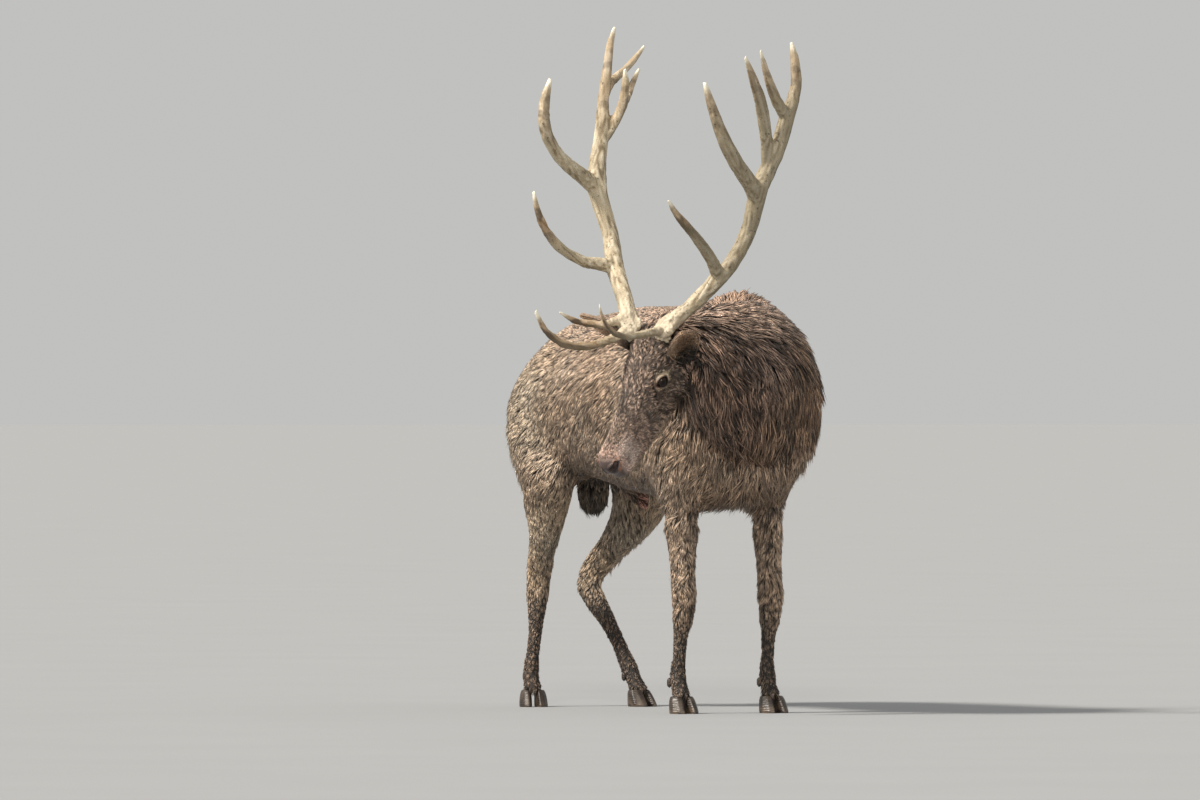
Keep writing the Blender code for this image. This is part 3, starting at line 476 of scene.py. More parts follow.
eyePlan = {
    "place": (0.168, 0.0615, -0.046),
    "radius": 0.0200,
    "long": 0.0181,  # half the opening's length and height
    "high": 0.0139,
    "pinch": 0.176,
    "tilt": 0.20,
    "facing": (0.42, 0.85, 0.32),
    "lid": 0.0026,
}
glandPlan = {"start": (0.196, -0.038), "end": (0.226, -0.080), "half": 0.0042, "deep": 0.0075, "lip": 0.0018}
nostrilPlan = {"start": (0.441, -0.034), "end": (0.467, -0.049), "half": 0.0072, "deep": 0.013, "lip": 0.0026}
# How far each feature of the face stands out or goes in, in metres.
facePlan = {
    "ridge": 0.0030, "hollow": 0.0035, "jaw": 0.0030, "lips": 0.0035, "mouth": 0.0034, "overhang": 0.0070,
    "chin": 0.0060, "crease": 0.0016, "behindBall": 0.0045,
}


def eyeFrame(side):
    # centre, the way out, and the opening's long and high axes, in the head's frame
    flip = np.array([1, side, 1])
    centre = np.array(eyePlan["place"]) * flip
    out = unit(np.array(eyePlan["facing"]) * flip)
    along = unit(np.array([1, 0, eyePlan["tilt"]]) - out * (np.array([1, 0, eyePlan["tilt"]]) @ out))
    high = np.cross(along, out) * -side
    return centre, out, along, high if high[2] > 0 else -high


def headParts(points):
    # masks of the head's bare and bony places, each from 0 to 1 in the head's frame
    f, l, u = toHead(points).T
    wide = np.abs(l)
    nosePad = ramp(f + 0.25 * np.minimum(wide, 0.03), 0.440, 0.452)
    nosePad = nosePad * ramp(u, -0.112, -0.094) * (1 - ramp(wide, 0.030, 0.040))
    mouthAt = np.interp(f, [0.35, 0.40, 0.46], [-0.128, -0.120, -0.108])
    return f, u, wide, nosePad, bell(u, mouthAt, 0.0042) * ramp(f, 0.355, 0.375)


def slitOf(f, u, plan, taper):  # how far along a slit in the head's side view, and how many half widths away
    start, end = np.array(plan["start"]), np.array(plan["end"])
    line = end - start
    t = ((f - start[0]) * line[0] + (u - start[1]) * line[1]) / (line @ line)
    held = np.clip(t, 0, 1)
    gap = np.hypot(f - start[0] - held * line[0], u - start[1] - held * line[1])
    return t, gap / (plan["half"] * (1 + taper * (held - 0.5)))


def openingOf(points, side):
    # how far a point is from the middle of the eye's opening, 1 on the lid's edge, its height on the way out,
    # and its place along and across the opening, which is a little pointed at both ends
    centre, out, along, high = eyeFrame(side)
    away = toHead(points) - centre
    x = away @ along
    y = away @ high
    pinch = 1 - eyePlan["pinch"] * (x / eyePlan["long"]) ** 2
    return np.hypot(x / eyePlan["long"], y / (eyePlan["high"] * pinch)), away @ out, x, y


def sculptHead(mesh):
    # lids, tear gland, nostrils, mouth and the ridges of the face, as moves along the surface's normals
    points = pointsOf(mesh)
    normals = normalsOf(mesh)
    f, u, wide, _, mouthLine = headParts(points)
    move = np.zeros(len(points))
    cheekSide = ramp(wide, 0.025, 0.035)
    gland = slitOf(f, u, glandPlan, -0.8)[1]
    move += cheekSide * (glandPlan["lip"] * bell(gland, 2.6, 1.3) - glandPlan["deep"] * np.exp(-(gland**2)))
    ridge = bell(u, -0.080 - 0.06 * (f - 0.2), 0.009) * ramp(f, 0.18, 0.22) * (1 - ramp(f, 0.27, 0.32))
    move += facePlan["ridge"] * ridge * cheekSide
    move -= facePlan["hollow"] * bell(f, 0.275, 0.040) * bell(u, -0.050, 0.018) * cheekSide  # before the eye
    move -= facePlan["jaw"] * bell(f, 0.215, 0.035) * bell(u, -0.112, 0.016) * cheekSide
    nostril = slitOf(f, u, nostrilPlan, 0.9)[1]
    nostrilSide = ramp(wide, 0.006, 0.013)
    rim = nostrilPlan["lip"] * bell(nostril, 1.5, 0.4)
    move += nostrilSide * (rim - nostrilPlan["deep"] * (1 - ramp(nostril, 0.45, 1.15)))
    move += facePlan["lips"] * bell(f, 0.425, 0.030) * ramp(wide, 0.02, 0.035) * ramp(u, -0.10, -0.07)
    move -= facePlan["mouth"] * mouthLine
    move += facePlan["overhang"] * bell(u, -0.096, 0.016) * ramp(f, 0.34, 0.40)  # the upper lip hangs over
    move += facePlan["chin"] * ramp(-u, 0.118, 0.135) * ramp(f, 0.24, 0.34)
    move *= ramp(f, 0.0, 0.05)
    points += move[:, None] * normals
    for side in (1, -1):
        out = eyeFrame(side)[1]
        ring, height, x, y = openingOf(points, side)
        near = (height > -0.012) & (ring < 2.6) & (toHead(points)[:, 1] * side > 0.02)
        ball = np.sqrt(np.maximum(eyePlan["radius"] ** 2 - x**2 - y**2, 0))
        lid = ball + eyePlan["lid"] * bell(ring, 1.22, 0.28) + 0.0004
        opened = ball - facePlan["behindBall"]
        wanted = np.where(ring < 0.98, opened, mix(lid, height, ramp(ring, 1.35, 2.5)))
        crease = -facePlan["crease"] * bell(ring, 1.75, 0.16) * (y > 0)
        points[near] += headSize * ((wanted - height + crease)[near])[:, None] * (out @ headAxes)
    movePoints(mesh, points)


reach = toHead(pointsOf(skin.data))
onHead = (reach[:, 0] > 0.02) & (reach[:, 2] > -0.20) & (np.abs(reach[:, 1]) < 0.13)
refine(skin.data, onHead)
reach = toHead(pointsOf(skin.data))
nearFeature = (reach[:, 0] > 0.33) & (reach[:, 2] > -0.14)
for side in (1, -1):
    nearFeature |= np.linalg.norm(reach - np.array([0.178, 0.068 * side, -0.048]), axis=1) < 0.052
    nearFeature |= np.linalg.norm(reach - np.array([0.215, 0.055 * side, -0.062]), axis=1) < 0.034
refine(skin.data, nearFeature & (reach[:, 0] > 0.1))
shares = kindShares(skin.data, skinSettings["blendRounds"])
# The coat's depth comes off the solids, so that the tips of the hair end where the solids do.
edges = edgesOf(skin.data)
depth = fromKinds(shares, "depth")
inset = spread(normalsOf(skin.data), edges, 3)
movePoints(skin.data, pointsOf(skin.data) - depth[:, None] * inset)
sculptHead(skin.data)
print("skin made:", len(skin.data.vertices), "vertices")

skinPoints = pointsOf(skin.data)
skinNormals = normalsOf(skin.data)
# the coat changes slowly over the body, and quickly only where the head begins
wideShares = spread(shares, edges, 70)
wideShares[:, 0] = 0
wideShares *= (1 - shares[:, :1]) / np.maximum(wideShares.sum(1, keepdims=True), 1e-6)
wideShares[:, 0] = shares[:, 0]
shares = wideShares


# ---- markings, painted light and shade, the same for skin and coat
def coatColour(points, normals, shares):
    x, y, z = (points - bodyMiddle).T
    f, u, wide, nosePad, mouthLine = headParts(points)
    up = normals[:, 2]
    share = dict(zip(kindNames, shares.T))
    trunk, head, thigh, sheath = (share[name] for name in ("trunk", "head", "legUpper", "sheath"))
    neck = share["neckUpper"] + share["neckLower"]
    # hair low down that faces in, towards the body's middle: a mask for painted shade between the legs
    inner = ramp(-y * np.sign(normals[:, 1]) * 10, 0.2, 1.0) * (1 - ramp(z, 0.55, 0.75))
    muzzle = ramp(f, 0.33, 0.39) * ramp(wide, 0.02, 0.035) * ramp(u, -0.108, -0.085)
    # the body: a pale rump and a brown back, darker low on the trunk and neck, with painted light and shade
    colour = painted(
        fromKinds(shares, "colour"),
        ("#e8d3b9", 0.92 * trunk * ramp(-x, 0.10, 0.52) * ramp(z, 0.62, 0.88)),
        ("#937e6d", 0.6 * trunk * ramp(up, 0.45, 0.95)),
        ("#d9c2a6", 0.7 * thigh * ramp(-x, 0.05, 0.30)),
        # a painted highlight on the hair that faces up, on the back and the neck
        ("#b59b88", 0.75 * ramp(up, 0.30, 0.90) * (0.5 * trunk + neck)),
        # painted shade on the trunk's hair that faces down
        ("#6a5644", 0.60 * trunk * ramp(-up, 0.15, 0.75)),
        ("#574638", 0.60 * trunk * (1 - ramp(z, 0.58, 0.74))),
        # painted shadow under the belly, behind the chest
        ("#35271a", 0.80 * trunk * ramp(-up, 0.55, 0.92) * (1 - ramp(x, 0.28, 0.36))),
        ("#8a6f5a", 0.30 * neck * ramp(y, 0.20, 0.28)),
        ("#5d4a3c", 0.45 * neck * (1 - ramp(z, 0.72, 0.92))),
        # painted shade between the legs
        ("#3c3129", 0.5 * inner * (1 - head)),
    )
    # the face: warm cheeks, a dark curly forehead and bridge, and a pale muzzle
    colour = painted(
        colour,
        ("#b79b89", 0.75 * head * ramp(f, 0.24, 0.34) * ramp(wide, 0.018, 0.034)),
        ("#5d4f45", 0.7 * head * ramp(u, -0.045, -0.01) * (1 - ramp(f, 0.07, 0.14))),
        ("#574c46", 0.6 * head * ramp(u, -0.03, 0.01) * ramp(f, 0.1, 0.3)),
        ("#8a7462", 0.35 * head * ramp(-u, 0.10, 0.15)),
        ("#fde4d6", 0.95 * head * muzzle),
    )
    # a pale ring round a dark lid, and a dark tear gland, on each side
    t, gland = slitOf(f, u, glandPlan, -0.8)
    for side, pale in ((1, 0.92), (-1, 0.30)):
        ring = openingOf(points, side)[0]
        near = head * (toHead(points)[:, 1] * side > 0.02)
        colour = painted(
            colour,
            ("#e0ccae", pale * near * bell(ring, 1.65, 0.42)),
            ("#1d1613", near * (1 - ramp(ring, 1.05, 1.34))),
            ("#6a4238", 0.7 * near * bell(gland, 0, 3.0) * (1 - ramp(t, 0.2, 0.7))),
            ("#120c0a", near * np.exp(-((gland / 1.5) ** 4))),
        )
    # the nose pad, rust beside the nostrils, green on the lips, and the pink end of the sheath
    nostril = slitOf(f, u, nostrilPlan, 0.9)[1]
    rust = bell(nostril, 2.3, 0.9) * (1 - ramp(f, 0.448, 0.460)) * ramp(wide, 0.022, 0.032)
    colour = painted(
        colour,
        ("#dbb8a7", 0.6 * head * ramp(f, 0.39, 0.43)),
        ("#4a3b37", nosePad),
        ("#a5653a", 0.7 * head * rust),
        ("#4d4c30", 0.6 * head * bell(u, -0.106, 0.010) * ramp(f, 0.38, 0.42)),
        # painted shade in the nostrils
        ("#080606", ramp(wide, 0.006, 0.012) * (1 - ramp(nostril, 0.95, 1.25)) * head),
        # painted shade along the mouth's crease
        ("#2a211c", 0.8 * mouthLine * head),
        ("#e4ad99", sheath * ramp(x, -0.13, -0.10)),
    )
    # wet and muddy patches over all of it
    patches = 1 + 0.13 * ripple(points, 0.16, 3) + 0.12 * ripple(points, 0.045, 4)
    warm = np.array([0.03, 0.0, -0.03]) * ripple(points, 0.22, 5)[:, None]
    return np.clip(colour * patches[:, None] * (1 + warm), 0.002, 1)


def onSide(side):  # which of the head's vertices lie on that side, from 0 to 1
    return shares[:, 0] * (toHead(skinPoints)[:, 1] * side > 0.02)


furColour = coatColour(skinPoints, skinNormals, shares)
f, u, wide, nosePad, mouthLine = headParts(skinPoints)
lids = np.zeros(len(skinPoints))
for side in (1, -1):
    lids = np.maximum(lids, (1 - ramp(openingOf(skinPoints, side)[0], 1.38, 1.62)) * onSide(side))
bare = np.maximum(nosePad, lids)
shown = np.maximum(bare, 0.35 * shares[:, 0])  # the underfur shows on the face, and is dark in other gaps
# painted shade between the locks: the skin under the coat is darkened, least on the face and bare places
setValues(skin, "furColour", furColour * mix(0.10, 1.0, shown)[:, None])
setValues(skin, "wet", np.maximum(nosePad, 0.8 * lids))
settle(skin, skinMaterial, fleshNames)


# ---- the way the hair lies
def laidOn(normals, ways):  # the part of each way that lies along the surface
    return unit(ways - normals * (ways * normals).sum(1, keepdims=True))


def hairWay(points, normals, shares):
    # a direction for each kind of flesh, blended by shares and laid flat on the surface
    x, y, z = (points - bodyMiddle).T
    l, u = toHead(points).T[1:]
    ways = {name: np.zeros((len(points), 3)) for name in kindNames}
    low = ramp(-u, 0.015, 0.085)[:, None]
    aside = (0.5 * np.sign(l) * ramp(np.abs(l), 0.008, 0.04))[:, None] * headL
    ways["head"] = -headF * (1 - 0.35 * low) + aside * (1 - low) - 1.1 * low * headU
    ways["neckUpper"] = mix((-0.05, 0.22, -1.0), (-0.05, 0.75, -0.75), ramp(z, 0.92, 1.12))
    ways["neckLower"] = mix((-0.35, 0.45, -0.8), (-0.15, 0.1, -1.0), 1 - ramp(z, 0.85, 1.1))
    back = mix((-0.62, 0, -0.72), (-0.75, 0, -0.62), ramp(-x, 0.2, 0.5))
    back = mix(back, (-0.25, 0, -1.0), (1 - ramp(z, 0.62, 0.86)) * ramp(-x, 0.25, 0.45))
    back = mix(back, (-0.35, 0, -0.95), ramp(x, 0.25, 0.42))
    crest = ramp(normals[:, 2], 0.45, 0.95)
    ways["trunk"] = mix(back + 0.25 * np.sign(y)[:, None] * np.array([0, 1, 0]), (-1.0, 0, -0.1), crest)
    ways["neckLower"] = mix(ways["neckLower"], (-0.6, 0.5, -0.2), crest)
    ways["tail"][:] = (-0.2, 0, -1)
    ways["scrotum"][:] = (0, 0, -1)
    ways["sheath"][:] = (0.8, 0, -0.5)
    ways["legUpper"][:] = (-0.22, 0, -1)
    ways["legLower"][:] = (0, 0, -1)
    return laidOn(normals, sum(shares[:, k : k + 1] * ways[name] for k, name in enumerate(kindNames)))


way = laidOn(skinNormals, spread(hairWay(skinPoints, skinNormals, shares), edges, 10))

earPlan = {
    "left": {"root": (0.079, 0.105, -0.054), "axis": (-0.02, 0.45, 0.89), "facing": (0.62, 0.70, -0.35)},
    "right": {"root": (0.060, -0.080, -0.060), "axis": (-0.22, -0.65, 0.72), "facing": (0.97, -0.15, 0.10)},
    "length": 0.188,
    "widths": (0.020, 0.034, 0.045, 0.050, 0.048, 0.040, 0.026, 0.004),
    "depth": 0.027,
    "lean": 0.022,
    "wall": 0.0030,
    "rows": 44,
    "columns": 26,
    "locks": 1900,
    "outerHair": 0.012,
    "innerHair": 0.024,
}


def earFrame(place):  # the root, the axis, the way across and the way the cup faces
    root, axis, facing = (np.array(place[key], float) for key in ("root", "axis", "facing"))
    axis = unit(axis)
    facing = unit(facing - axis * (facing @ axis))
    return root, axis, np.cross(axis, facing), facing


def earShape(t):  # half width, depth and how far the cup's middle leans over, at t along the ear
    width = np.interp(t, np.linspace(0, 1, len(earPlan["widths"])), earPlan["widths"])
    depth = earPlan["depth"] * (1 - 0.75 * t)
    return width, depth, earPlan["lean"] * np.maximum(t, 0) ** 2.5 + 0.6 * depth


def insideEar(points, place):  # below 1 inside the cup's lower part
    root, axis, across, facing = earFrame(place)
    away = toHead(points) - root
    t = away @ axis / earPlan["length"]
    width, depth, lean = earShape(np.clip(t, 0, 1))
    ring = np.hypot(away @ across / width, np.minimum(away @ facing - lean, 0) / depth) / 1.2
    return np.maximum(ring, 1 + np.abs(t - 0.2) - 0.28) + ramp(away @ facing, 0.06, 0.09)


# Where no lock grows: nose, lids, tear gland, mouth, and the soles' side of the feet.
gland = slitOf(f, u, glandPlan, -0.8)[1]
slit = (1 - ramp(gland, 1.0, 1.8)) * ramp(wide, 0.02, 0.03) * shares[:, 0]
cover = (1 - ramp(bare, 0.05, 0.3)) * (1 - ramp(mouthLine, 0.4, 0.8) * shares[:, 0])
cover *= ramp(skinPoints[:, 2], 0.050, 0.056) * (1 - slit)
for name in ("left", "right"):
    cover *= ramp(insideEar(skinPoints, earPlan[name]), 0.9, 1.1)

# Shades are factors on the fur's colour along a lock, across it and over a clump: painted light and shade.
coatPlan = {
    "seed": 11,
    "lengthSpread": 0.30,
    "shadeSpread": 0.20,
    # painted shade at a lock's root, rising to a painted highlight at its tip
    "rootShade": 0.06,
    "midShade": 0.88,
    "tipShade": 1.95,
    "brightest": 0.95,
    "lift": 1.4,  # how soon the colour nears the brightest
    "sideShade": 0.42,  # painted shade on a lock's sides against a painted highlight on its ridge
    "ridgeShade": 1.38,
    "waveTurn": 0.28,  # how far the hair's way wanders over 90 mm, in radians
    "twist": 0.5,
    "clump": 8,  # locks that hang together, wet
    "gather": 0.68,  # how far their tips come together
    "clumpShade": 0.30,
    "clumpRange": (0.65, 1.7),
    "crown": 1.9,  # a painted highlight on a clump's middle against its edges
    "gap": 0.62,
    "deepGap": 0.36,  # on the head and neck
    "curl": 0.10,
    "sink": 0.0015,  # how far a root lies in the skin
    "lengthRange": (0.45, 1.7),
    "gatherRange": (0.5, 1.15),
    "mottle": 0.28,
    "stray": 0.10,  # a lock's own turn, in radians
    "jawFringe": 0.036,  # lengths of the locks there, in metres
    "behindEar": 0.013,
    "hang": 0.9,  # how much longer the hair is that hangs
    "share": 1.0,
}


def growLocks(roots, normals, ways, length, width, height, colour, rings, rng, contrast=1.0):
    # A lock is a three-sided spike: its line leaves the root and bends over until it lies along the coat,
    # P(s) = root + way * length * s + normal * height * (1 - (1 - s)^2) + side * curl * length * s^2.
    count = len(roots)
    corners = 3 * rings + 1
    side = unit(np.cross(ways, normals))
    turn = rng.uniform(-coatPlan["twist"], coatPlan["twist"], count)[:, None]
    flat = side * np.cos(turn) + normals * np.sin(turn)
    ridge = normals * np.cos(turn) - side * np.sin(turn)
    bend = rng.normal(0, coatPlan["curl"], count)[:, None]
    along = np.sqrt(np.maximum(length**2 - height**2, (0.3 * length) ** 2))[:, None]
    points = np.empty((count, corners, 3))
    shade = np.empty((count, corners))
    shadeAt = [coatPlan[key] for key in ("rootShade", "midShade", "tipShade")]
    s = np.append(np.repeat(np.linspace(0, 1, rings + 1)[:-1], 3), 1.0)
    across = np.append(np.tile([1, 0, -1], rings), 0)  # which side of the lock a corner is on
    for k in range(corners):
        lift = height[:, None] * (1 - (1 - s[k]) ** 2) - coatPlan["sink"] * (1 - s[k])
        points[:, k] = roots + ways * along * s[k] + normals * lift + side * bend * along * s[k] * s[k]
        # painted light and shade: dark at the root, bright at the tip, a bright ridge and dark sides
        tone = mix(1, np.interp(s[k], [0, 0.45, 1], shadeAt), contrast)
        shade[:, k] = tone * (coatPlan["sideShade"] if across[k] else coatPlan["ridgeShade"])
        half = (width * np.interp(s[k], [0, 0.3, 0.6, 1], [0.42, 0.52, 0.40, 0.08]))[:, None]
        if k < corners - 1:
            points[:, k] += across[k] * flat * half if across[k] else ridge * half * 0.8
    shade[:, -1] = coatPlan["tipShade"]
    patch = np.tile(np.stack([across, 2 * s - 1], 1), (count, 1, 1))
    pattern = [(0, 2, 1)]
    for k in range(rings - 1):
        for a, b in ((0, 1), (1, 2), (2, 0)):
            low, high = 3 * k, 3 * k + 3
            pattern += [(low + a, low + b, high + b), (low + a, high + b, high + a)]
    last = 3 * (rings - 1)
    pattern += [(last + a, last + b, 3 * rings) for a, b in ((0, 1), (1, 2), (2, 0))]
    faces = (np.array(pattern)[None] + (np.arange(count) * corners)[:, None, None]).reshape(-1, 3)
    tint = colour[:, None, :] * shade[:, :, None]
    tint = tint * rng.lognormal(0, coatPlan["shadeSpread"], count)[:, None, None]
    return points.reshape(-1, 3), faces, tint.reshape(-1, 3), np.tile(across, count), patch


def makeCoatPiece(name, clumps, rootUv):
    # clumps is a list of what growLocks gives; rootUv has each lock's root on the unwrap, in the same order
    points, faces, tints, across, patches = zip(*clumps)
    starts = np.cumsum([0] + [len(some) for some in points])
    faces = np.vstack([some + start for some, start in zip(faces, starts)])
    uvs = [(uv[:, None, :] + 0.0015 * patch).reshape(-1, 2) for uv, patch in zip(rootUv, patches)]
    made = meshFrom(name, np.vstack(points), faces)
    tints = np.vstack(tints)
    peak = tints.max(1, keepdims=True) + 1e-6
    shoulder = coatPlan["brightest"] * (1 - np.exp(-coatPlan["lift"] * peak))
    setValues(made, "furColour", tints / peak * shoulder)  # bright tips keep their hue
    setValues(made, "across", np.concatenate(across))
    layer = made.data.uv_layers.new(name="OFBake")
    layer.data.foreach_set("uv", np.vstack(uvs)[faces.ravel()].astype(np.float32).ravel())
    settle(made, coatMaterial)


def unwrap(points, every, axis):
    # cylinder coordinates round the middle line of the region's own skin: the angle, and the place along it
    low, high = every[:, axis].min(), every[:, axis].max()
    slices = 23
    stations = np.linspace(low, high, slices + 1)
    bins = np.clip(np.digitize(every[:, axis], stations) - 1, 0, slices - 1)
    count = np.bincount(bins, minlength=slices)
    filled = count > 0
    others = [k for k in range(3) if k != axis]
    middles = ((stations[:-1] + stations[1:]) / 2)[filled]
    centre = []
    for k in others:
        means = np.bincount(bins, every[:, k], slices)[filled] / count[filled]
        centre.append(np.interp(points[:, axis], middles, means))
    angle = np.arctan2(points[:, others[1]] - centre[1], points[:, others[0]] - centre[0]) / (2 * np.pi) + 0.5
    return np.stack([0.01 + 0.98 * angle, 0.01 + 0.98 * (points[:, axis] - low) / (high - low)], 1)


# Each piece of the coat: which vertices of the skin it grows on, the axis of its unwrap and its locks' rings.
label = np.argmax(shares, 1)
body = skinPoints - bodyMiddle
isKind = {name: label == number for number, name in enumerate(kindNames)}
isLeg = isKind["legUpper"] | isKind["legLower"]
onLeft = body[:, 1] > 0
trunkFront = body[:, 0] > -0.12
foreleg = body[:, 0] > 0
pieces = {
    "coat_head": (isKind["head"], "head", 2),
    "coat_neck_upper": (isKind["neckUpper"], 1, 3),
    "coat_neck_lower": (isKind["neckLower"], 0, 3),
}
for name, chosen, axis in (
    ("trunk_front", isKind["trunk"] & trunkFront, 0),
    ("trunk_back", isKind["trunk"] & ~trunkFront, 0),
    ("foreleg", isLeg & foreleg, 2),
    ("hindleg", isLeg & ~foreleg, 2),
):
    pieces[f"coat_{name}_left"] = (chosen & onLeft, axis, 2)
    pieces[f"coat_{name}_right"] = (chosen & ~onLeft, axis, 2)
for name, axis in (("tail", 2), ("scrotum", 2), ("sheath", 0)):
    pieces["coat_" + name] = (isKind[name], axis, 2)

triangles = trianglesOf(skin.data)
corners = skinPoints[triangles]
area = np.linalg.norm(np.cross(corners[:, 1] - corners[:, 0], corners[:, 2] - corners[:, 0]), axis=1) / 2
headShare = shares[:, 0]
lockLength = fromKinds(shares, "lock")
lockLength *= mix(1, mix(1.0, 0.45, ramp(f, 0.20, 0.42)), headShare)
crest = ramp(skinNormals[:, 2], 0.35, 0.95) * (1 - headShare)  # the hair of the back lies flat
lockLength *= 1 - 0.45 * crest
fine = mix(1, mix(1.0, 0.62, ramp(f, 0.24, 0.42)), headShare)  # finer towards the nose
for side in (1, -1):  # short round the eye and along the tear gland
    ring = openingOf(skinPoints, side)[0]
    lockLength *= mix(1, 0.35 + 0.65 * ramp(ring, 1.5, 3.6), onSide(side))
lockLength *= mix(0.45, 1, np.maximum(ramp(gland, 1.5, 5.0), 1 - headShare * ramp(wide, 0.02, 0.03)))
jawFringe = headShare * ramp(-u, 0.075, 0.145) * (1 - ramp(f, 0.28, 0.38))
lockLength = mix(lockLength, coatPlan["jawFringe"], jawFringe)
for name in ("left", "right"):  # short behind the ears, so that none grows through them
    toRoot = np.linalg.norm(toHead(skinPoints) - earPlan[name]["root"], axis=1)
    lockLength = mix(lockLength, coatPlan["behindEar"], np.exp(-((toRoot / 0.055) ** 4)))
chest = ramp(body[:, 0], 0.24, 0.34)  # the mane hangs from neck and chest, the belly's hair lies close
hang = ramp(-skinNormals[:, 2], 0.25, 0.85) * (shares[:, 1:3].sum(1) + (0.15 + 0.45 * chest) * shares[:, 3])
overHoof = 1 - ramp(skinPoints[:, 2], 0.056, 0.075)
lockLength *= 1 + coatPlan["hang"] * (hang + overHoof)
perVertex = np.column_stack(
    [
        skinPoints, skinNormals, way, furColour,
        lockLength, fromKinds(shares, "wide") * fine,
        np.maximum(fromKinds(shares, "depth") * (1 - 0.55 * crest), 0.42 * lockLength * hang),
        fromKinds(shares, "wave") + 0.45 * headShare * ramp(u, -0.045, -0.01) * (1 - ramp(f, 0.08, 0.20)),
    ]
)
density = area * (cover / (fromKinds(shares, "apart") * fine) ** 2)[triangles].mean(1) * coatPlan["share"]
firstCorner = triangles[:, 0]


def scatter(chosen, rng):
    # roots spread evenly over the chosen triangles: equal steps of their summed density, at random places
    inside = np.flatnonzero(chosen[firstCorner])
    total = np.cumsum(density[inside])
    count = int(total[-1])
    picks = np.searchsorted(total, (np.arange(count) + rng.uniform(0, 1, count)) * total[-1] / count)
    found = triangles[inside[np.minimum(picks, len(inside) - 1)]]
    a, b = rng.uniform(0, 1, (2, count))
    over = a + b > 1
    a[over], b[over] = 1 - a[over], 1 - b[over]
    first, second, third = (perVertex[found[:, k]] for k in range(3))
    return first * (1 - a - b)[:, None] + second * a[:, None] + third * b[:, None]


def turned(ways, normals, angle):  # ways turned about the normals
    return ways * np.cos(angle)[:, None] + np.cross(normals, ways) * np.sin(angle)[:, None]


for number, (name, (chosen, axis, rings)) in enumerate(pieces.items()):
    rng = np.random.default_rng(coatPlan["seed"] + number)
    rows = scatter(chosen, rng)
    roots, normals, ways, tint = rows[:, 0:3], unit(rows[:, 3:6]), rows[:, 6:9], rows[:, 9:12]
    lock, wideness, deep, wave = rows[:, 12:16].T
    ways = laidOn(normals, ways)
    angle = coatPlan["waveTurn"] * ripple(roots, 0.09, 21) + wave * ripple(roots, 0.020, 22)
    tint = tint * (1 + coatPlan["mottle"] * ripple(roots, 0.014, 23))[:, None]
    angle += rng.normal(0, coatPlan["stray"], len(roots))
    ways = turned(ways, normals, angle)
    lock = lock * np.clip(rng.normal(1, coatPlan["lengthSpread"], len(roots)), *coatPlan["lengthRange"])
    # wet hair hangs together: tip' = tip + gather * (tip of the clump's middle lock - tip)
    middles = rng.choice(len(roots), max(1, len(roots) // coatPlan["clump"]), replace=False)
    owner = nearest(roots, roots[middles])
    tips = roots + ways * lock[:, None]
    reach = mix(tips, tips[middles][owner], coatPlan["gather"]) - roots
    reach -= normals * (reach * normals).sum(1, keepdims=True)
    lock = np.clip(np.linalg.norm(reach, axis=1), *(factor * lock for factor in coatPlan["gatherRange"]))
    ways = unit(reach)
    clumpTint = np.clip(rng.lognormal(0, coatPlan["clumpShade"], len(middles)), *coatPlan["clumpRange"])
    tint = tint * clumpTint[owner][:, None]
    away = np.linalg.norm(roots - roots[middles][owner], axis=1)
    gap = coatPlan["deepGap"] if number < 3 else coatPlan["gap"]  # dark between the clumps
    # a painted highlight on each clump's middle, and painted shade towards its edges
    tint = tint * mix(coatPlan["crown"], gap, ramp(away / (1.5 * away.mean()), 0.35, 1.0))[:, None]
    wideness = wideness * rng.uniform(0.7, 1.3, len(roots))
    deep = np.minimum(deep * rng.uniform(0.45, 1.15, len(roots)), 0.6 * lock)
    locks = growLocks(roots, normals, ways, lock, wideness, deep, tint, rings, rng)
    if axis == "head":
        uv = unwrap(toHead(roots), toHead(skinPoints[chosen]), 0)
    else:
        uv = unwrap(roots, skinPoints[chosen], axis)
    makeCoatPiece(name, [locks], [uv])
print("coat made")


# ---- ears
def earSurface(place, t, turn, layer):
    # t runs along the ear and turn round its back, from rim to rim; layer is 1 outside and -1 in the cup
    root, axis, across, facing = earFrame(place)
    width, depth, lean = earShape(t)
    wall = earPlan["wall"] * layer * (1 - 0.4 * t)
    middle = root + t[..., None] * earPlan["length"] * axis + lean[..., None] * facing
    sideways = (np.sin(turn) * (width + 0.5 * wall))[..., None] * across
    back = (np.cos(turn) * (depth + wall))[..., None] * facing
    return fromHead(middle + sideways - back)


def makeEarShell(side):
    place = earPlan[side]
    t = np.linspace(0, 1, earPlan["rows"])
    turn = np.linspace(-np.pi / 2, np.pi / 2, earPlan["columns"])
    outer = earSurface(place, *np.meshgrid(t, turn, indexing="ij"), 1)
    inner = earSurface(place, *np.meshgrid(t, turn[::-1], indexing="ij"), -1)
    loops = np.concatenate([outer, inner], 1)
    rows, columns = loops.shape[:2]
    made = closedTube(f"ear_{side}_shell", loops, (loops[0].mean(0), loops[-1].mean(0)))
    alongEar = np.append(np.repeat(t, columns), [0, 1])
    inside = np.append(np.tile(np.repeat([0.0, 1.0], columns // 2), rows), [0, 0])
    colour = painted(
        colourOf("#7d6c60"),
        ("#937861", 0.8 * ramp(alongEar, 0.45, 0.95)),
        ("#dcb48c", inside * ramp(alongEar, 0.10, 0.35)),
        # pale hair inside towards the tip, partly its own colour and partly a painted highlight
        ("#fbd9b4", inside * ramp(alongEar, 0.60, 0.85)),
        # painted shadow in the bottom of the cup
        ("#1c1a10", inside * (1 - ramp(alongEar, 0.08, 0.26))),
    )
    points = np.vstack([loops.reshape(-1, 3), loops[0].mean(0), loops[-1].mean(0)])
    setValues(made, "furColour", colour * (0.85 + 0.15 * ripple(points, 0.02, 31))[:, None])
    setValues(made, "wet", np.zeros(len(points)))
    settle(made, skinMaterial, [f"ear_{side}"])


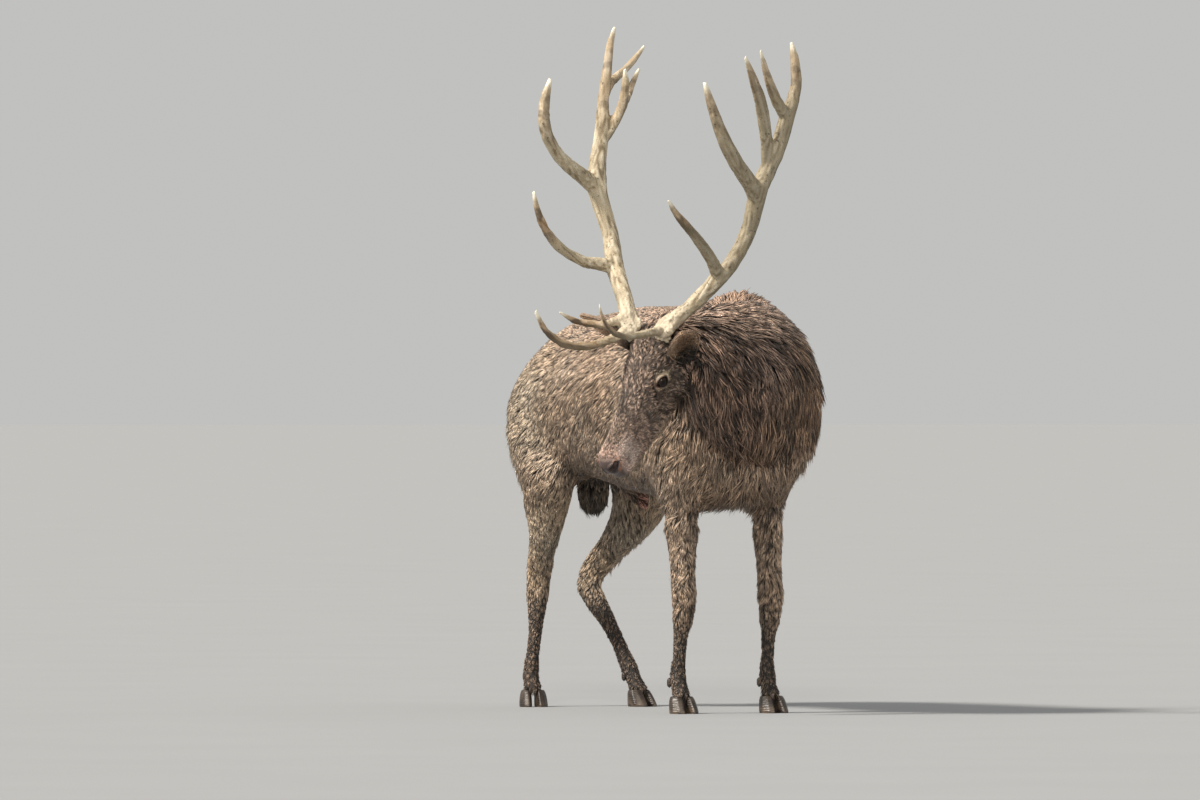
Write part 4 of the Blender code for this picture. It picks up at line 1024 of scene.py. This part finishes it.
def makeEarHair(side):
    # outside: short hair to the tip; inside: longer, paler hair from both rims over the cup
    place = earPlan[side]
    rng = np.random.default_rng(41 + len(side))
    clumps, uvs = [], []
    count = int(earPlan["locks"] * coatPlan["share"])
    for layer, inward, size in ((1, False, earPlan["outerHair"]), (-1, True, earPlan["innerHair"])):
        t = rng.uniform(0.10, 0.96, count)
        edge = rng.uniform(0, 1, count)
        turn = (edge * 2 - 1) * (np.pi / 2)
        if inward:
            turn = np.where(edge < 0.5, -1, 1) * rng.uniform(0.0, 0.98, count) * np.pi / 2
        here = earSurface(place, t, turn, layer)
        along = unit(earSurface(place, np.minimum(t + 0.02, 1), turn, layer) - here)
        out = unit(np.cross(along, unit(earSurface(place, t, turn + 0.05, layer) - here)))
        rims = [earSurface(place, t, turn * 0 + rim, 1) for rim in (np.pi / 2, -np.pi / 2)]
        middle = (rims[0] + rims[1]) / 2
        facingOut = (here - middle) * (-1 if inward else 1)
        out = out * np.sign((out * facingOut).sum(1, keepdims=True))
        ways = unit(along + (0.45 * unit(middle - here) if inward else 0) + rng.normal(0, 0.14, (count, 3)))
        if inward:
            tone = mix(colourOf("#d8b595"), colourOf("#fbdcc0"), rng.uniform(0, 1, count))
            tone = painted(tone, ("#fbd6b2", ramp(t, 0.62, 0.80)))
            # painted shadow deep in the cup, rising to a painted highlight towards the tip
            tone = tone * (0.2 + 1.1 * ramp(t, 0.12, 0.34) + 1.5 * ramp(t, 0.45, 0.75))[:, None]
        else:
            tone = painted(colourOf("#77685a"), ("#9b8470", ramp(t, 0.5, 0.9)))
        length = size * rng.uniform(0.6, 1.3, count) * (1 - 0.45 * t)
        wideness = rng.uniform(0.0016, 0.0028, count)
        contrast = 0.3 if inward else 0.8
        lift = length * 0.16
        out = laidOn(ways, out)
        clumps.append(growLocks(here, out, ways, length, wideness, lift, tone, 2, rng, contrast))
        uvs.append(np.stack([0.01 + 0.48 * edge + (0.5 if inward else 0), 0.01 + 0.98 * t], 1))
    makeCoatPiece(f"coat_ear_{side}", clumps, uvs)


for side in ("left", "right"):
    makeEarShell(side)
    makeEarHair(side)
print("ears made")


# ---- eyes
def makeEye(side, sign):
    # a ball with a domed front: r = radius * (0.985 + 0.045 * exp(-(a / 0.55)^2)), a the angle from its look
    centre, out, along, high = eyeFrame(sign)
    a = np.linspace(0, np.pi, 31)[1:-1]
    b = np.linspace(0, 2 * np.pi, 48, endpoint=False)
    a, b = np.meshgrid(a, b, indexing="ij")
    x, y = np.sin(a) * np.cos(b), np.sin(a) * np.sin(b)
    radius = eyePlan["radius"] * (0.985 + 0.045 * bell(a, 0, 0.55))
    shape = np.cos(a)[..., None] * out + x[..., None] * along + y[..., None] * high
    ends = (centre + out * eyePlan["radius"] * 1.03, centre - out * eyePlan["radius"] * 0.985)
    made = closedTube(f"eye_{side}_ball", fromHead(centre + radius[..., None] * shape), fromHead(ends))
    angle = np.append(a.ravel(), [0, np.pi])
    pupil = 1 - ramp(np.append(np.hypot(x / 0.42, y / 0.24).ravel(), [0, 0]), 0.85, 1.1)
    colour = painted(
        colourOf("#1f120a"),
        ("#0c0705", ramp(angle, 0.75, 0.95)),
        ("#4a3026", ramp(angle, 1.05, 1.3)),
        ("#020203", pupil),
    )
    setValues(made, "eyeColour", colour)
    settle(made, eyeMaterial, [f"eye_{side}"])


makeEye("left", 1)
makeEye("right", -1)
print("eyes made")

# ---- antlers
antlerPlan = {
    "voxel": 0.0030, "grooveStep": 0.0085, "grooveDepth": 0.0011, "pearl": 0.0013, "burr": 0.0026,
    "stain": {"left": 0.55, "right": 0.10},
    "tines": ("brow", "bez", "trez", "surroyal", "crown_top", "crown_front", "crown_back", "crown_side"),
}


def makeAntler(side, sign):
    names = sorted(name for name in nodes if name.startswith(f"antler_{side}_"))
    made, places, labels = solidFrom(f"antler_{side}_bone", names, antlerPlan["voxel"])
    mesh = made.data
    edges = edgesOf(mesh)
    smoothSkin(mesh, np.full(len(mesh.vertices), 0.5), 5)
    points = pointsOf(mesh)
    normals = normalsOf(mesh)
    burr = fromHead([0.036, sign * 0.061, 0.024])
    # each length's own axis and middle, and the tips: the far ends of the tines
    label = labels[nearest(points, places)]
    axes, middles, tips = [], [], []
    for k, name in enumerate(names):
        own = places[labels == k]
        middles.append(own.mean(0))
        axes.append(np.linalg.svd(own - middles[-1], full_matrices=False)[2][0])
        if name.split("_", 2)[2] in antlerPlan["tines"]:
            tips.append(own[np.argmax(np.linalg.norm(own - burr, axis=1))])
    axes, middles, tips = np.array(axes), np.array(middles), np.array(tips)
    away = points - middles[label]
    stretch = (away * axes[label]).sum(1, keepdims=True) * axes[label]
    step = antlerPlan["grooveStep"]  # the grooves are a ripple of the place, drawn out along each length
    grain = ripple(away - 0.93 * stretch, step, 51 + sign)
    grain = spread(grain + 0.5 * ripple(away - 0.9 * stretch, step * 0.5, 53 + sign), edges, 2)
    toTip = np.min(np.linalg.norm(points[:, None] - tips[None], axis=2), axis=1)
    toBurr = np.linalg.norm(points - burr, axis=1)
    rough = ramp(toTip, 0.03, 0.11)
    pearls = ripple(points, 0.010, 55) * bell(toBurr, 0, 0.16)
    collar = bell(toBurr, 0.036, 0.008) * (1 + 0.5 * ripple(points, 0.011, 57))
    move = antlerPlan["grooveDepth"] * grain * rough + antlerPlan["pearl"] * pearls
    movePoints(mesh, points + (move + antlerPlan["burr"] * collar)[:, None] * normals)
    # bone in cream, stain in the grooves, brown below the tips, ivory at them, and painted shade underneath
    brown = ramp(toTip, 0.020, 0.055) * (1 - ramp(toTip, 0.10, 0.20))
    brown = brown * mix(1.0, 0.45, ramp(toBurr, 0.35, 0.50))
    # faces turned down and to the stag's left, away from the key light: a mask for painted shade
    under = ramp(-normals[:, 2] * 0.7 + normals[:, 1] * 0.6, 0.1, 0.8)
    colour = painted(
        colourOf("#b3a58a"),
        ("#cdc1aa", ramp(grain, 0.1, 0.8)),
        ("#6d5c42", 0.75 * ramp(-grain, 0.15, 0.8) * rough),
        ("#8f6238", 0.50 * brown),
        # dark brown mottles below the tips, gathered onto the undersides as painted shade
        ("#2f2216", 0.80 * brown * ramp(ripple(points, 0.05, 58) - normals[:, 2], -0.1, 0.6)),
        # painted shade on the undersides and the faces towards the stag's left
        ("#6f6349", 0.55 * under * rough),
        ("#6b614b", antlerPlan["stain"][side] * ramp(toBurr, 0.10, 0.30) * ramp(toTip, 0.05, 0.15)),
        ("#efe7d3", 1 - ramp(toTip, 0.008, 0.034)),
        ("#c4b8a4", 0.6 * bell(toBurr, 0, 0.07)),
    )
    setValues(made, "boneColour", np.clip(colour * (1 + 0.10 * ripple(points, 0.07, 59))[:, None], 0, 1))
    setValues(made, "polish", 1 - ramp(toTip, 0.02, 0.07))
    settle(made, antlerMaterial, names)


makeAntler("left", 1)
makeAntler("right", -1)
print("antlers made")


# ---- hooves
hoofPlan = {"voxel": 0.0022, "rounds": 9, "soleHold": 0.010}


def makeHooves():
    names = sorted(name for name in nodes if "claw" in name)
    made = solidFrom("hooves", names, hoofPlan["voxel"])[0]
    edges = edgesOf(made.data)
    points = pointsOf(made.data)
    for _ in range(hoofPlan["rounds"]):  # the soles stay flat and level, and the walls round off
        hold = ramp(points[:, 2], 0.0, hoofPlan["soleHold"])[:, None]
        share = np.concatenate([hold * 0 + 0.5, hold * 0 + 0.5, hold], 1)
        points = points + 0.5 * (neighbourMean(points, edges) - points) * share
    movePoints(made.data, points)
    settle(made, hoofMaterial, names)


makeHooves()
print("hooves made")


# ---- floor, light and camera
stagePlan = {
    "floor": 400.0,
    "paint": ("#8e9092", "#939597"),
    "key": {"energy": 5.2, "angle": 9.0, "from": (0.32, -0.74, 0.80), "colour": "#fff7ec"},
    "front": {"energy": 1.1, "angle": 9.0, "from": (0.94, -0.05, 0.32), "colour": "#fffaf2"},
    "sky": 0.70,
    "skyColour": "#e2e2e0",
}


def makeFloor():
    reach = stagePlan["floor"]
    corners = reach * np.array([[-1, -1, 0], [1, -1, 0], [1, 1, 0], [-1, 1, 0]])
    made = meshFrom("floor", corners, np.array([[0, 1, 2, 3]]))
    # matt paint on a smooth floor, two greys mixed by a broad noise
    material, tree, shader, place = newMaterial("paintedFloor")
    clouds = addNode(tree, "TexNoise", Vector=place, Scale=1.5, Detail=3.0)
    colour = blended(tree, clouds, *(rgba(grey) for grey in stagePlan["paint"]))
    connect(tree, shader, Base_Color=colour, Roughness=0.9)
    made.data.materials.append(material)


cameraPlan = {"azimuth": 64.0, "distance": 38.65, "lens": 400.0, "aim": (-0.2047, 0.0791, 0.899)}


def aimed(name, data, back):  # adds a camera or a lamp that looks away from where back points
    made = bpy.data.objects.new(name, data)
    made.rotation_mode = "QUATERNION"
    made.rotation_quaternion = back.to_track_quat("Z", "Y")
    bpy.context.scene.collection.objects.link(made)
    return made


def makeCamera():
    a = math.radians(cameraPlan["azimuth"])
    back = Vector((math.sin(a), -math.cos(a), 0))
    data = bpy.data.cameras.new("camera")
    data.lens = cameraPlan["lens"]
    data.clip_end = 1000
    made = aimed("camera", data, back)
    made.location = Vector(cameraPlan["aim"]) + back * cameraPlan["distance"]
    bpy.context.scene.camera = made
    return back


def makeLight(back):
    # two soft suns placed by how far towards the camera, to its right and up they stand, and an even room
    right = Vector((-back.y, back.x, 0))
    for name in ("key", "front"):
        plan = stagePlan[name]
        data = bpy.data.lights.new(name, "SUN")
        data.energy = plan["energy"]
        data.angle = math.radians(plan["angle"])
        data.color = colourOf(plan["colour"])
        nearer, aside, up = plan["from"]
        aimed(name, data, back * nearer + right * aside + Vector((0, 0, up)))
    world = bpy.data.worlds.new("room")
    world.use_nodes = True
    sky = world.node_tree.nodes["Background"]
    connect(world.node_tree, sky, Color=rgba(stagePlan["skyColour"]), Strength=stagePlan["sky"])
    bpy.context.scene.world = world


makeFloor()
makeLight(makeCamera())
bpy.context.scene.view_settings.view_transform = "Standard"
print("stage made")
